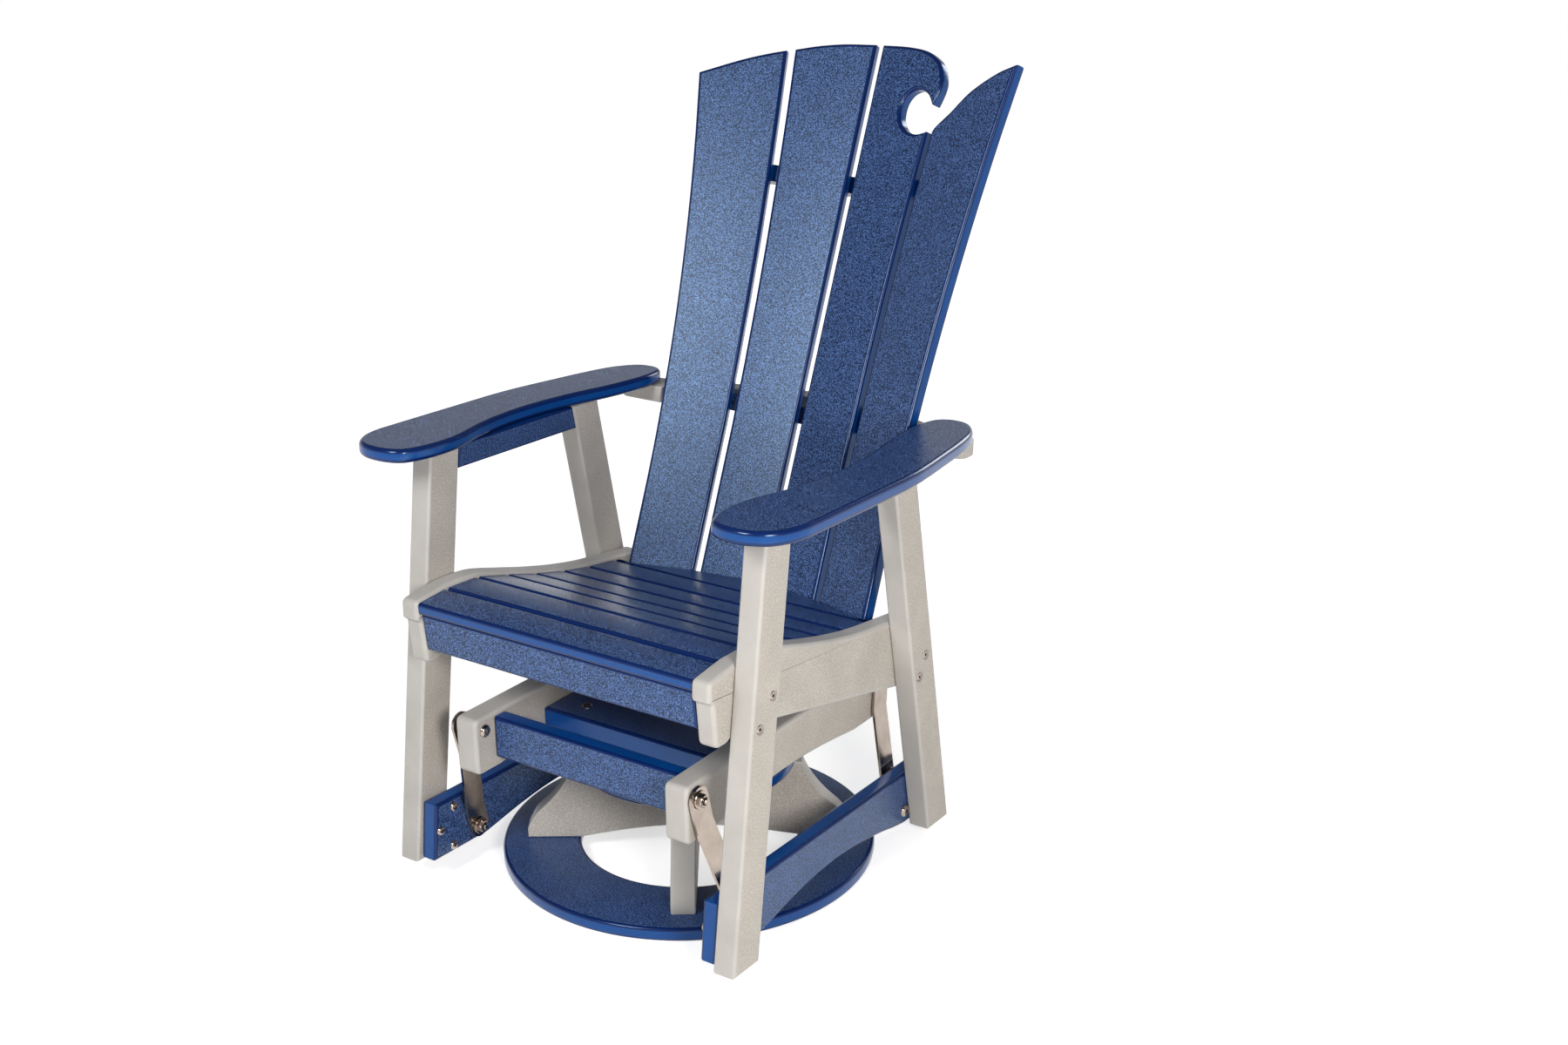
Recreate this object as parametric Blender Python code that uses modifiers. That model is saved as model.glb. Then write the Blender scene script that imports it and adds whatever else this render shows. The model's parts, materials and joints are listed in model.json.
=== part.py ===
"""Swivel glider: an outdoor armchair of plastic lumber, hung by four links from a frame
that turns on a round base.

Metres, +Z up. Sizes are first given about the swivel axis, with the front of the chair
towards -Y; the last step centres the whole part over its own footprint.
"""

import math

import bmesh
import bpy
from mathutils import Matrix, Vector

# Clearances shared by every piece
SEAT_GAP = 0.0003  # between pieces that touch
PIVOT_PLAY = 0.00035  # between a bolt and a hole that turns on it
OPEN_PIVOT_PLAY = 0.0019  # between a bolt and the wider hole of an open pivot
CUT_OVERRUN = 0.004
MERGE_DISTANCE = 0.00001  # points nearer than this are one point

# How finely curves are drawn
ARC_STEPS = 6
CIRCLE_STEPS = 72
SMALL_CIRCLE_STEPS = 24
ARCH_STEPS = 14
CORNER_SIDE_SHARE = 0.49  # the most of a side that one rounded corner takes

# Boards
LEG_THICKNESS = 0.0381
LEG_WIDTH = 0.0635
RAIL_THICKNESS = 0.0330
STRETCHER_THICKNESS = 0.0290
BACK_THICKNESS = 0.0222
ARM_THICKNESS = 0.0222
SLAT_THICKNESS = 0.0190
SUPPORT_THICKNESS = 0.0286

# Base
RING_OUTER_RADIUS = 0.3048
RING_INNER_RADIUS = 0.1778
RING_THICKNESS = 0.0222
SAW_KERF = 0.0020
FIN_THICKNESS = 0.0386
FIN_TIP_RADIUS = 0.2640
FIN_TIP_HEIGHT = 0.0160
FIN_TOP_RADIUS = 0.1860
FIN_HEIGHT = 0.1335
FIN_WAIST_SHARES = ((0.18, 0.22), (0.42, 0.38), (0.62, 0.53), (0.80, 0.70), (0.94, 0.88))
FIN_ARCH_RISE = 0.0200
FRONT_FIN_ANGLE = math.radians(-55.8)

# Swivel
LOWER_PLATE_SIDE = 0.2000
PLATE_THICKNESS = 0.0040
SPINDLE_RADIUS = 0.0190
HOUSING_RADIUS = 0.0340
HOUSING_PLAY = 0.0006
THRUST_RADIUS = 0.0300
THRUST_HEIGHT = 0.0060
UPPER_PLATE_WIDTH = 0.3300
UPPER_PLATE_DEPTH = 0.2780
UPPER_PLATE_HEIGHT = 0.2136

# Glider frame
GLIDER_RAIL_INNER_X = 0.1800
GLIDER_RAIL_THICKNESS = 0.0420
GLIDER_RAIL_FRONT_Y = -0.2980
GLIDER_RAIL_LENGTH = 0.5450
GLIDER_RAIL_TOP = 0.2930
GLIDER_RAIL_END_HEIGHT = 0.0940
GLIDER_RAIL_ARCH_RISE = 0.0170
GLIDER_RAIL_ARCH_SHARES = (0.10, 0.84)
GLIDER_RAIL_ROUNDING = 0.0120
FRONT_CROSS_Y = -0.2570
FRONT_CROSS_THICKNESS = 0.0286
FRONT_CROSS_BOTTOM = 0.2170
FRONT_CROSS_HEIGHT = 0.0690
PLATE_BOARD_REACH = 0.1390
PLATE_BOARD_WIDTH = 0.0889

# Links and their bolts
FRONT_UPPER_PIVOT = (-0.2784, 0.2705)
REAR_UPPER_PIVOT = (0.2271, 0.2655)
LINK_LENGTH = 0.2164
FRONT_LINK_ANGLE = math.radians(14.3)
REAR_LINK_ANGLE = math.radians(-5.6)
LINK_WIDTH = 0.0400
LINK_THICKNESS = 0.0048
LINK_BEND_SHARES = (0.22, 0.85)
SPACER_THICKNESS = 0.0030
SPACER_RADIUS = 0.0150
BOLT_RADIUS = 0.00475
BOLT_HEAD_RADIUS = 0.0105
BOLT_HEAD_HEIGHT = 0.0060
WASHER_RADIUS = 0.0115
WASHER_THICKNESS = 0.0020
NUT_RADIUS = 0.0083
NUT_HEIGHT = 0.0080
BOLT_END = 0.0030

# Chair frame, in its own level coordinates
FRONT_CHAIR_PIVOT = (-0.2251, 0.0609)
REAR_PIVOT_RISE = 0.0012
LEG_INNER_X = 0.2880
LEG_BOTTOM = 0.0300
FRONT_LEG_Y = -0.3350
FRONT_LEG_SLOPE = 0.117
REAR_LEG_Y = 0.2245
REAR_LEG_SLOPE = -0.226
STRETCHER_TOP = 0.1315
STRETCHER_HEIGHT = 0.0950
STRETCHER_FRONT_Y = -0.3255
STRETCHER_LENGTH = 0.6060
STRETCHER_END_LEAN = 0.0085
STRETCHER_ARCH_RISE = 0.0255
STRETCHER_ARCH_SHARES = (0.20, 0.88)

# Seat
SEAT_FRONT_Y = -0.3385
SEAT_DEPTH = 0.5505
SEAT_CREST = 0.4845
SEAT_DIP = 0.0795
SEAT_LINE_SHARES = (
    (0.000, 0.080), (0.119, 0.000), (0.244, 0.020), (0.367, 0.230), (0.487, 0.455),
    (0.612, 0.658), (0.730, 0.805), (0.857, 0.908), (1.000, 1.000),
)
SLAT_GAP = 0.0048
REAR_SLAT_CLEARANCE = 0.0085
RAIL_LIP = 0.0060
RAIL_NOSE_FRONT_Y = -0.3385
RAIL_NOSE_HEIGHT = 0.0300
RAIL_NOSE_ROUNDING = 0.0110
RAIL_LOBE_FRONT_Y = -0.3300
RAIL_LOBE_DROP = 0.1085
RAIL_LOBE_LENGTH = 0.0340
RAIL_LOBE_LEAN = 0.0080
RAIL_BELLY_Y = -0.2720
RAIL_BELLY_DROP = 0.0955
RAIL_BOTTOM_SLOPE = -0.2095
RAIL_END_INSET = 0.0090
RAIL_END_LEAN = 0.0190
APRON_FRONT_Y = -0.3300
APRON_DROP = 0.0855
APRON_THICKNESS = 0.0254
APRON_LEAN = 0.0080

# Back
BACK_FOOT_INSET = 0.0556
BACK_Z = 0.4108
BACK_RECLINE = math.radians(21.47)
BACK_MIDDLE_DEPTH = 0.0540
BACK_OUTER_DEPTH = 0.0740
BACK_MIDDLE_TURN = math.radians(10.75)
BACK_OUTER_TURN = math.radians(19.03)
BACK_SLAT_GAP = 0.0110
BACK_BOTTOM = -0.0600
BACK_HALF_WIDTH = 0.2360
BACK_HALF_FLARE = 0.0665
BACK_FLARE_START = 0.1000
BACK_JOINT_X = 0.1205
BACK_JOINT_FLARE = 0.0305
BACK_JOINT_FLARE_START = 0.1600
BACK_FLARE_TOP = 0.8890
BACK_EDGE_STEPS = 9
BACK_CORNER_HEIGHT = 0.8385
BACK_OUTER_TOP_SHARES = ((0.785, 1.038), (0.650, 1.0585))
BACK_OUTER_TOP_END = 0.9000
BACK_INNER_TOP_START = 0.9040
BACK_CROWN = 0.9290
BACK_INNER_TOP_SHARES = ((0.29, 0.44), (0.61, 0.78))
CURL_INSET = 0.0315
CURL_DROP = 0.1115
CURL_RADIUS = 0.0365
CURL_HOLLOW_SHARES = (
    (0.72, -0.93), (0.25, -1.00), (-0.17, -0.93), (-0.52, -0.73), (-0.79, -0.40), (-0.89, -0.01),
    (-0.84, 0.45), (-0.58, 0.84), (-0.13, 1.01), (0.30, 0.90), (0.64, 0.63), (0.86, 0.31),
)
CURL_CREST_SHARES = (
    (0.86, 0.31), (1.01, 0.67), (1.13, 1.05), (1.12, 1.49), (0.86, 2.10), (0.41, 2.52),
    (-0.25, 2.81), (-1.34, 2.98),
)
CURL_FOOT_DROP = 0.0315
WAVE_FOOT_HEIGHT = 0.7850
WAVE_RISE_SHARES = ((0.03, 0.07), (0.08, 0.14), (0.21, 0.30), (0.40, 0.577), (0.61, 0.775), (0.82, 0.92))
BATTEN_HEIGHT = 0.0286
BATTEN_SEAT_GAP = 0.0005
UPPER_BATTEN_HEIGHT = 0.6810
UPPER_BATTEN_DEPTH = 0.0381
UPPER_BATTEN_HALF = 0.2300
LOWER_BATTEN_HEIGHT = 0.2850
LOWER_BATTEN_DEPTH = 0.0080
LOWER_BATTEN_HALF = 0.2280
LOWER_SUPPORT_HEIGHT = -0.0520
LOWER_SUPPORT_DEPTH = 0.0300

# Arms and what carries them
ARM_TOP = 0.7118
ARM_FRONT_Y = -0.3360
ARM_LENGTH = 0.6440
ARM_OUTER_X = 0.3970
ARM_WIDTH = 0.1330
ARM_OUTLINE_SHARES = (
    (1.00, 0.125), (1.00, 0.30), (1.00, 0.50), (0.97, 0.60), (0.905, 0.70), (0.835, 0.80),
    (0.755, 0.885), (0.665, 0.94), (0.51, 0.985), (0.34, 1.000), (0.17, 0.995), (0.05, 0.97),
    (0.00, 0.92), (0.00, 0.86), (0.04, 0.78), (0.10, 0.71), (0.165, 0.645), (0.21, 0.575),
    (0.235, 0.50), (0.235, 0.43), (0.20, 0.35), (0.13, 0.275), (0.05, 0.215), (0.005, 0.165),
    (0.00, 0.115), (0.03, 0.065), (0.11, 0.022), (0.24, 0.003), (0.42, -0.004), (0.62, 0.000),
    (0.79, 0.018), (0.91, 0.050), (0.975, 0.088),
)
ARM_RAIL_THICKNESS = 0.0286
ARM_RAIL_HEIGHT = 0.0381
CROSS_HALF_LENGTH = 0.3400
CROSS_SETBACK = 0.1076
CROSS_END_DEPTH = 0.0420
CROSS_WIDTH = 0.0400
CROSS_STEP_X = 0.2500
CROSS_CORNER = 0.0180

# Colours: linear base colour, roughness, metallic
NAVY = ("navy_lumber", (0.018, 0.045, 0.165), 0.42, 0.0)
STONE = ("stone_lumber", (0.545, 0.515, 0.460), 0.50, 0.0)
STEEL = ("stainless_steel", (0.560, 0.540, 0.510), 0.24, 1.0)
ZINC = ("zinc_plated_steel", (0.420, 0.420, 0.430), 0.38, 1.0)
NYLON = ("black_nylon", (0.020, 0.020, 0.022), 0.55, 0.0)

ALONG_X = (math.radians(90), 0.0, math.radians(90))  # outline in Y and Z, thickness along X
FLAT = (0.0, 0.0, 0.0)  # outline in X and Y, thickness along Z
UPRIGHT = (math.radians(90), 0.0, 0.0)  # outline in X and Z, thickness along Y


def clear_scene():
    for obj in list(bpy.data.objects):
        bpy.data.objects.remove(obj, do_unlink=True)


def new_collection(name, hidden=False):
    collection = bpy.data.collections.new(name)
    bpy.context.scene.collection.children.link(collection)
    collection.hide_render = hidden
    return collection


def material(description):
    name, colour, roughness, metallic = description
    found = bpy.data.materials.get(name)
    if found:
        return found
    made = bpy.data.materials.new(name)
    made.use_nodes = True
    shader = made.node_tree.nodes["Principled BSDF"]
    shader.inputs["Base Color"].default_value = (*colour, 1.0)
    shader.inputs["Roughness"].default_value = roughness
    shader.inputs["Metallic"].default_value = metallic
    made.diffuse_color = (*colour, 1.0)
    return made


def empty(name, parent=None, location=(0.0, 0.0, 0.0), turn_x=0.0, turn_z=0.0):
    made = bpy.data.objects.new(name, None)
    made.location = location
    made.rotation_euler = (turn_x, 0.0, turn_z)
    made.parent = parent
    PARTS.objects.link(made)
    return made


def add_object(name, data, parent, finish):
    made = bpy.data.objects.new(name, data)
    made.parent = parent
    PARTS.objects.link(made)
    if finish:
        data.materials.append(material(finish))
    return made


def board(name, outline, thickness, start, facing, parent, finish):
    """A flat board: a closed outline, extruded from start by thickness along its normal."""
    curve = bpy.data.curves.new(name, "CURVE")
    curve.dimensions = "2D"
    curve.fill_mode = "BOTH"
    curve.extrude = thickness / 2
    spline = curve.splines.new("POLY")
    spline.points.add(len(outline) - 1)
    for point, (along, up) in zip(spline.points, outline):
        point.co = (along, up, 0.0, 1.0)
    spline.use_cyclic_u = True
    made = add_object(name, curve, parent, finish)
    made.rotation_euler = facing
    normal = made.rotation_euler.to_matrix() @ Vector((0.0, 0.0, 1.0))
    made.location = normal * (start + thickness / 2)
    return made


def as_mesh(made):
    """Turns a curve object into a mesh object of the same name, with its caps welded on."""
    bpy.context.view_layer.update()
    graph = bpy.context.evaluated_depsgraph_get()
    mesh = bpy.data.meshes.new_from_object(made.evaluated_get(graph))
    shell = bmesh.new()
    shell.from_mesh(mesh)
    bmesh.ops.remove_doubles(shell, verts=shell.verts, dist=MERGE_DISTANCE)
    bmesh.ops.recalc_face_normals(shell, faces=shell.faces)
    shell.to_mesh(mesh)
    shell.free()
    name, parent, place = made.name, made.parent, made.matrix_world.copy()
    bpy.data.objects.remove(made, do_unlink=True)
    solid = bpy.data.objects.new(name, mesh)
    solid.parent = parent
    PARTS.objects.link(solid)
    solid.matrix_world = place
    return solid


def turned(name, profile, steps, facing, location, parent, finish):
    """A turned piece, from (radius, height) pairs. One that stays off its axis is a ring."""
    mesh = bpy.data.meshes.new(name)
    points = [(radius, 0.0, height) for radius, height in profile]
    edges = [(i, i + 1) for i in range(len(points) - 1)]
    if min(radius for radius, _ in profile) > 0:
        edges.append((len(points) - 1, 0))
    mesh.from_pydata(points, edges, [])
    made = add_object(name, mesh, parent, finish)
    made.rotation_euler = facing
    made.location = location
    screw = made.modifiers.new("turn", "SCREW")
    screw.steps = steps
    screw.render_steps = steps
    screw.use_merge_vertices = True
    screw.merge_threshold = MERGE_DISTANCE
    screw.use_smooth_shade = True
    return made


def bored(made, radius, places, thickness):
    """Cuts round holes along X through a mesh, each given as (x, y, z) in the part's frame."""
    for index, place in enumerate(places):
        shell = bmesh.new()
        turn = Matrix.Rotation(math.radians(90), 4, "Y")
        bmesh.ops.create_cone(
            shell, cap_ends=True, segments=SMALL_CIRCLE_STEPS, radius1=radius, radius2=radius,
            depth=thickness + 2 * CUT_OVERRUN, matrix=turn,
        )
        mesh = bpy.data.meshes.new(f"{made.name}_cutter_{index}")
        shell.to_mesh(mesh)
        shell.free()
        cutter = bpy.data.objects.new(mesh.name, mesh)
        cutter.parent = made.parent
        cutter.location = place
        cutter.hide_render = True
        cutter.display_type = "WIRE"
        CUTTERS.objects.link(cutter)
        cut = made.modifiers.new("bore", "BOOLEAN")
        cut.object = cutter
        cut.operation = "DIFFERENCE"
        cut.solver = "EXACT"


def arc(centre, radius, start, end, steps=ARC_STEPS):
    turns = [start + (end - start) * i / steps for i in range(steps + 1)]
    return [(centre[0] + radius * math.cos(t), centre[1] + radius * math.sin(t)) for t in turns]


def rounded(points, radii):
    """A closed outline with each corner rounded by its radius; the corners may turn either way."""
    outline = []
    for i, (corner, radius) in enumerate(zip(points, radii)):
        here = Vector(corner)
        before = Vector(points[i - 1]) - here
        after = Vector(points[(i + 1) % len(points)]) - here
        if not radius:
            outline.append(tuple(here))
            continue
        half = before.angle(after) / 2
        longest = CORNER_SIDE_SHARE * min(before.length, after.length)
        reach = min(radius / math.tan(half), longest)
        start, end = here + before.normalized() * reach, here + after.normalized() * reach
        for step in range(ARC_STEPS + 1):
            share = step / ARC_STEPS
            first = start.lerp(here, share)
            outline.append(tuple(first.lerp(here.lerp(end, share), share)))
    return outline


def smooth(points, steps):
    """A smooth open run through the points, with its ends kept."""
    padded = [points[0], *points, points[-1]]
    run = []
    for i in range(1, len(padded) - 2):
        p0, p1, p2, p3 = (Vector(p) for p in padded[i - 1 : i + 3])
        for step in range(steps):
            t = step / steps
            run.append(tuple(
                (2 * p1 + (p2 - p0) * t + (2 * p0 - 5 * p1 + 4 * p2 - p3) * t * t
                 + (3 * p1 - p0 - 3 * p2 + p3) * t * t * t) / 2
            ))
    run.append(tuple(points[-1]))
    return run


def arch(start, end, foot, rise, steps=ARCH_STEPS):
    """A shallow arch from one foot to the other."""
    return [
        (start + (end - start) * i / steps, foot + rise * math.sin(math.pi * i / steps))
        for i in range(steps + 1)
    ]


def box_outline(left, right, bottom, top):
    return [(left, bottom), (right, bottom), (right, top), (left, top)]


# Where the four-bar linkage stands at rest
def link_end(pivot, angle):
    return (
        pivot[0] + LINK_LENGTH * math.sin(angle),
        pivot[1] - LINK_LENGTH * math.cos(angle),
    )


FRONT_LOWER_PIVOT = link_end(FRONT_UPPER_PIVOT, FRONT_LINK_ANGLE)
REAR_LOWER_PIVOT = link_end(REAR_UPPER_PIVOT, REAR_LINK_ANGLE)
PIVOT_SPAN = math.dist(FRONT_LOWER_PIVOT, REAR_LOWER_PIVOT)
PIVOT_SLOPE = math.atan2(
    REAR_LOWER_PIVOT[1] - FRONT_LOWER_PIVOT[1], REAR_LOWER_PIVOT[0] - FRONT_LOWER_PIVOT[0]
)
CHAIR_PIVOT_SLOPE = math.asin(REAR_PIVOT_RISE / PIVOT_SPAN)
REAR_CHAIR_PIVOT = (
    FRONT_CHAIR_PIVOT[0] + PIVOT_SPAN * math.cos(CHAIR_PIVOT_SLOPE),
    FRONT_CHAIR_PIVOT[1] + REAR_PIVOT_RISE,
)
REST_TILT = PIVOT_SLOPE - CHAIR_PIVOT_SLOPE

# Places along X that the pieces share
GLIDER_RAIL_OUTER_X = GLIDER_RAIL_INNER_X + GLIDER_RAIL_THICKNESS
STRETCHER_INNER_X = LEG_INNER_X - SEAT_GAP - STRETCHER_THICKNESS
RAIL_INNER_X = LEG_INNER_X - SEAT_GAP - RAIL_THICKNESS
SLAT_HALF_LENGTH = RAIL_INNER_X - SEAT_GAP
LINK_UPPER_X = GLIDER_RAIL_OUTER_X + SPACER_THICKNESS + 2 * SEAT_GAP
LINK_LOWER_X = STRETCHER_INNER_X - SEAT_GAP - LINK_THICKNESS
DISC_RADIUS = RING_INNER_RADIUS - SAW_KERF
DISC_BOTTOM = RING_THICKNESS + FIN_HEIGHT + 2 * SEAT_GAP
DISC_TOP = DISC_BOTTOM + RING_THICKNESS
ARM_BOTTOM = ARM_TOP - ARM_THICKNESS
SEAT_REAR_Y = SEAT_FRONT_Y + SEAT_DEPTH
RAIL_END_Y = SEAT_REAR_Y - RAIL_END_INSET
RAIL_TOP_END = SEAT_CREST - SEAT_DIP + RAIL_LIP
RAIL_LOBE_BOTTOM = SEAT_CREST - RAIL_LOBE_DROP
RAIL_BELLY_BOTTOM = SEAT_CREST - RAIL_BELLY_DROP
APRON_BOTTOM = SEAT_CREST - APRON_DROP
BACK_Y = SEAT_REAR_Y - BACK_FOOT_INSET
CURL_HEIGHT = BACK_CROWN - CURL_DROP
CROSS_FRONT_Y = BACK_Y + CROSS_SETBACK
LEG_FRONTS = {"front": FRONT_LEG_Y, "rear": REAR_LEG_Y}
LEG_SLOPES = {"front": FRONT_LEG_SLOPE, "rear": REAR_LEG_SLOPE}


def base(root):
    ring = [
        (RING_OUTER_RADIUS, RING_THICKNESS), (RING_OUTER_RADIUS, 0.0),
        (RING_INNER_RADIUS, 0.0), (RING_INNER_RADIUS, RING_THICKNESS),
    ]
    turned("base_ring", ring, CIRCLE_STEPS, FLAT, (0.0, 0.0, 0.0), root, NAVY)
    foot = RING_THICKNESS + SEAT_GAP
    for name, turn, slot_up in (
        ("base_cross_front", FRONT_FIN_ANGLE, True),
        ("base_cross_side", FRONT_FIN_ANGLE + math.radians(90), False),
    ):
        frame = empty(name + "_axis", root, turn_z=turn)
        outline = fin_outline(foot, slot_up)
        board(name, outline, FIN_THICKNESS, -FIN_THICKNESS / 2, UPRIGHT, frame, STONE)
    disc = [
        (0.0, DISC_TOP), (DISC_RADIUS, DISC_TOP), (DISC_RADIUS, DISC_BOTTOM), (0.0, DISC_BOTTOM),
    ]
    turned("base_disc", disc, CIRCLE_STEPS, FLAT, (0.0, 0.0, 0.0), root, NAVY)


def fin_outline(foot, slot_up):
    """One board of the cross, with its half-lap slot at the middle."""
    reach = FIN_TIP_RADIUS - FIN_TOP_RADIUS
    waist = [
        (FIN_TIP_RADIUS - reach * out, foot + FIN_TIP_HEIGHT + (FIN_HEIGHT - FIN_TIP_HEIGHT) * up)
        for out, up in ((0.0, 0.0), *FIN_WAIST_SHARES, (1.0, 1.0))
    ]
    right = smooth(waist, 2)
    left = [(-along, up) for along, up in reversed(right)]
    under = arch(-RING_INNER_RADIUS, RING_INNER_RADIUS, foot, FIN_ARCH_RISE)
    half_slot = FIN_THICKNESS / 2 + SEAT_GAP
    middle = foot + (FIN_HEIGHT + FIN_ARCH_RISE) / 2
    if slot_up:
        deep = middle - SEAT_GAP / 2
        top = foot + FIN_HEIGHT
        slot = [(half_slot, top), (half_slot, deep), (-half_slot, deep), (-half_slot, top)]
        return [(-FIN_TIP_RADIUS, foot), *under, (FIN_TIP_RADIUS, foot), *right, *slot, *left]
    high = middle + SEAT_GAP / 2
    low = foot + FIN_ARCH_RISE
    before = [point for point in under if point[0] < -half_slot]
    after = [point for point in under if point[0] > half_slot]
    slot = [(-half_slot, low), (-half_slot, high), (half_slot, high), (half_slot, low)]
    return [(-FIN_TIP_RADIUS, foot), *before, *slot, *after, (FIN_TIP_RADIUS, foot), *right, *left]


def swivel_base(root):
    plate_bottom = DISC_TOP + SEAT_GAP
    plate_top = plate_bottom + PLATE_THICKNESS
    half = LOWER_PLATE_SIDE / 2
    square = box_outline(-half, half, -half, half)
    board("swivel_lower_plate", square, PLATE_THICKNESS, plate_bottom, FLAT, root, ZINC)
    bottom = plate_top + SEAT_GAP
    top = UPPER_PLATE_HEIGHT - SEAT_GAP
    spindle = [
        (0.0, top), (SPINDLE_RADIUS, top), (SPINDLE_RADIUS, bottom + THRUST_HEIGHT),
        (THRUST_RADIUS, bottom + THRUST_HEIGHT), (THRUST_RADIUS, bottom), (0.0, bottom),
    ]
    turned("swivel_spindle", spindle, SMALL_CIRCLE_STEPS, FLAT, (0.0, 0.0, 0.0), root, ZINC)
    return bottom + THRUST_HEIGHT + SEAT_GAP


def glider_frame(swivel, housing_bottom):
    bore = SPINDLE_RADIUS + HOUSING_PLAY
    top = UPPER_PLATE_HEIGHT - SEAT_GAP
    housing = [
        (HOUSING_RADIUS, top), (HOUSING_RADIUS, housing_bottom), (bore, housing_bottom), (bore, top),
    ]
    turned("swivel_housing", housing, SMALL_CIRCLE_STEPS, FLAT, (0.0, 0.0, 0.0), swivel, ZINC)
    side, deep = UPPER_PLATE_WIDTH / 2, UPPER_PLATE_DEPTH / 2
    board(
        "swivel_upper_plate", box_outline(-side, side, -deep, deep), PLATE_THICKNESS,
        UPPER_PLATE_HEIGHT, FLAT, swivel, ZINC,
    )
    for side_name, sign in (("left", -1), ("right", 1)):
        glider_rail(swivel, side_name, sign)
    half_span = GLIDER_RAIL_INNER_X - SEAT_GAP
    cross = box_outline(
        FRONT_CROSS_Y, FRONT_CROSS_Y + FRONT_CROSS_THICKNESS,
        FRONT_CROSS_BOTTOM, FRONT_CROSS_BOTTOM + FRONT_CROSS_HEIGHT,
    )
    board("front_cross_rail", cross, 2 * half_span, -half_span, ALONG_X, swivel, NAVY)
    low = UPPER_PLATE_HEIGHT + PLATE_THICKNESS + SEAT_GAP
    for name, front in (
        ("front_plate_board", -PLATE_BOARD_REACH),
        ("rear_plate_board", PLATE_BOARD_REACH - PLATE_BOARD_WIDTH),
    ):
        outline = box_outline(front, front + PLATE_BOARD_WIDTH, low, low + LEG_THICKNESS)
        board(name, outline, 2 * half_span, -half_span, ALONG_X, swivel, NAVY)


def glider_rail(swivel, side_name, sign):
    front, rear = GLIDER_RAIL_FRONT_Y, GLIDER_RAIL_FRONT_Y + GLIDER_RAIL_LENGTH
    low = GLIDER_RAIL_TOP - GLIDER_RAIL_END_HEIGHT
    start, end = (front + GLIDER_RAIL_LENGTH * share for share in GLIDER_RAIL_ARCH_SHARES)
    under = arch(start, end, low, GLIDER_RAIL_ARCH_RISE)
    corners = [(front, low), *under, (rear, low), (rear, GLIDER_RAIL_TOP), (front, GLIDER_RAIL_TOP)]
    radii = [GLIDER_RAIL_ROUNDING, *(0.0 for _ in under), *([GLIDER_RAIL_ROUNDING] * 3)]
    outline = rounded(corners, radii)
    inner = GLIDER_RAIL_INNER_X if sign > 0 else -GLIDER_RAIL_OUTER_X
    name = f"glider_rail_{side_name}"
    made = board(name, outline, GLIDER_RAIL_THICKNESS, inner, ALONG_X, swivel, STONE)
    middle = sign * (GLIDER_RAIL_INNER_X + GLIDER_RAIL_THICKNESS / 2)
    places = [(middle, *FRONT_UPPER_PIVOT), (middle, *REAR_UPPER_PIVOT)]
    bored(as_mesh(made), BOLT_RADIUS + SEAT_GAP, places, GLIDER_RAIL_THICKNESS)


def bolt(name, sign, head_x, nut_x, pivot, parent):
    """A bolt through a pivot with its head at one face and its washer and nut at the other.

    head_x and nut_x are where the head and the washer sit, as distances from the middle.
    """
    out = 1 if nut_x > head_x else -1
    length = abs(nut_x - head_x)
    nut_start = length + WASHER_THICKNESS
    end = nut_start + NUT_HEIGHT + BOLT_END
    dome = [
        (BOLT_HEAD_RADIUS * math.cos(turn), -BOLT_HEAD_HEIGHT * math.sin(turn))
        for turn in (0.0, math.radians(30), math.radians(60))
    ]
    profile = [
        (0.0, end), (BOLT_RADIUS, end), (BOLT_RADIUS, end - BOLT_END), (NUT_RADIUS, end - BOLT_END),
        (NUT_RADIUS, nut_start), (WASHER_RADIUS, nut_start), (WASHER_RADIUS, length),
        (BOLT_RADIUS, length), (BOLT_RADIUS, 0.0), *dome, (0.0, -BOLT_HEAD_HEIGHT),
    ]
    facing = (0.0, math.radians(90) * sign * out, 0.0)
    turned(name, profile, SMALL_CIRCLE_STEPS, facing, (sign * head_x, *pivot), parent, STEEL)


def upper_fasteners(swivel):
    for side_name, sign in (("left", -1), ("right", 1)):
        for end_name, pivot in (("front", FRONT_UPPER_PIVOT), ("rear", REAR_UPPER_PIVOT)):
            head_x = GLIDER_RAIL_INNER_X - SEAT_GAP
            nut_x = LINK_UPPER_X + LINK_THICKNESS + SEAT_GAP
            bolt(f"upper_bolt_{end_name}_{side_name}", sign, head_x, nut_x, pivot, swivel)
            bore = BOLT_RADIUS + SEAT_GAP
            ring = [
                (SPACER_RADIUS, SPACER_THICKNESS), (SPACER_RADIUS, 0.0),
                (bore, 0.0), (bore, SPACER_THICKNESS),
            ]
            place = (sign * (GLIDER_RAIL_OUTER_X + SEAT_GAP), *pivot)
            facing = (0.0, math.radians(90) * sign, 0.0)
            name = f"link_spacer_{end_name}_{side_name}"
            turned(name, ring, SMALL_CIRCLE_STEPS, facing, place, swivel, NYLON)


def link_outline():
    """Edge view of a link, as (x, z) from its upper pivot: two bends carry it outward."""
    half = LINK_WIDTH / 2
    first, second = (-LINK_LENGTH * share for share in LINK_BEND_SHARES)
    x0, x1, t = LINK_UPPER_X, LINK_LOWER_X, LINK_THICKNESS
    bend = math.atan2(x1 - x0, first - second)
    shift = t * math.tan(bend / 2)
    return [
        (x0, half), (x0, first), (x1, second), (x1, -LINK_LENGTH - half),
        (x1 + t, -LINK_LENGTH - half), (x1 + t, second + shift), (x0 + t, first + shift), (x0 + t, half),
    ]


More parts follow.
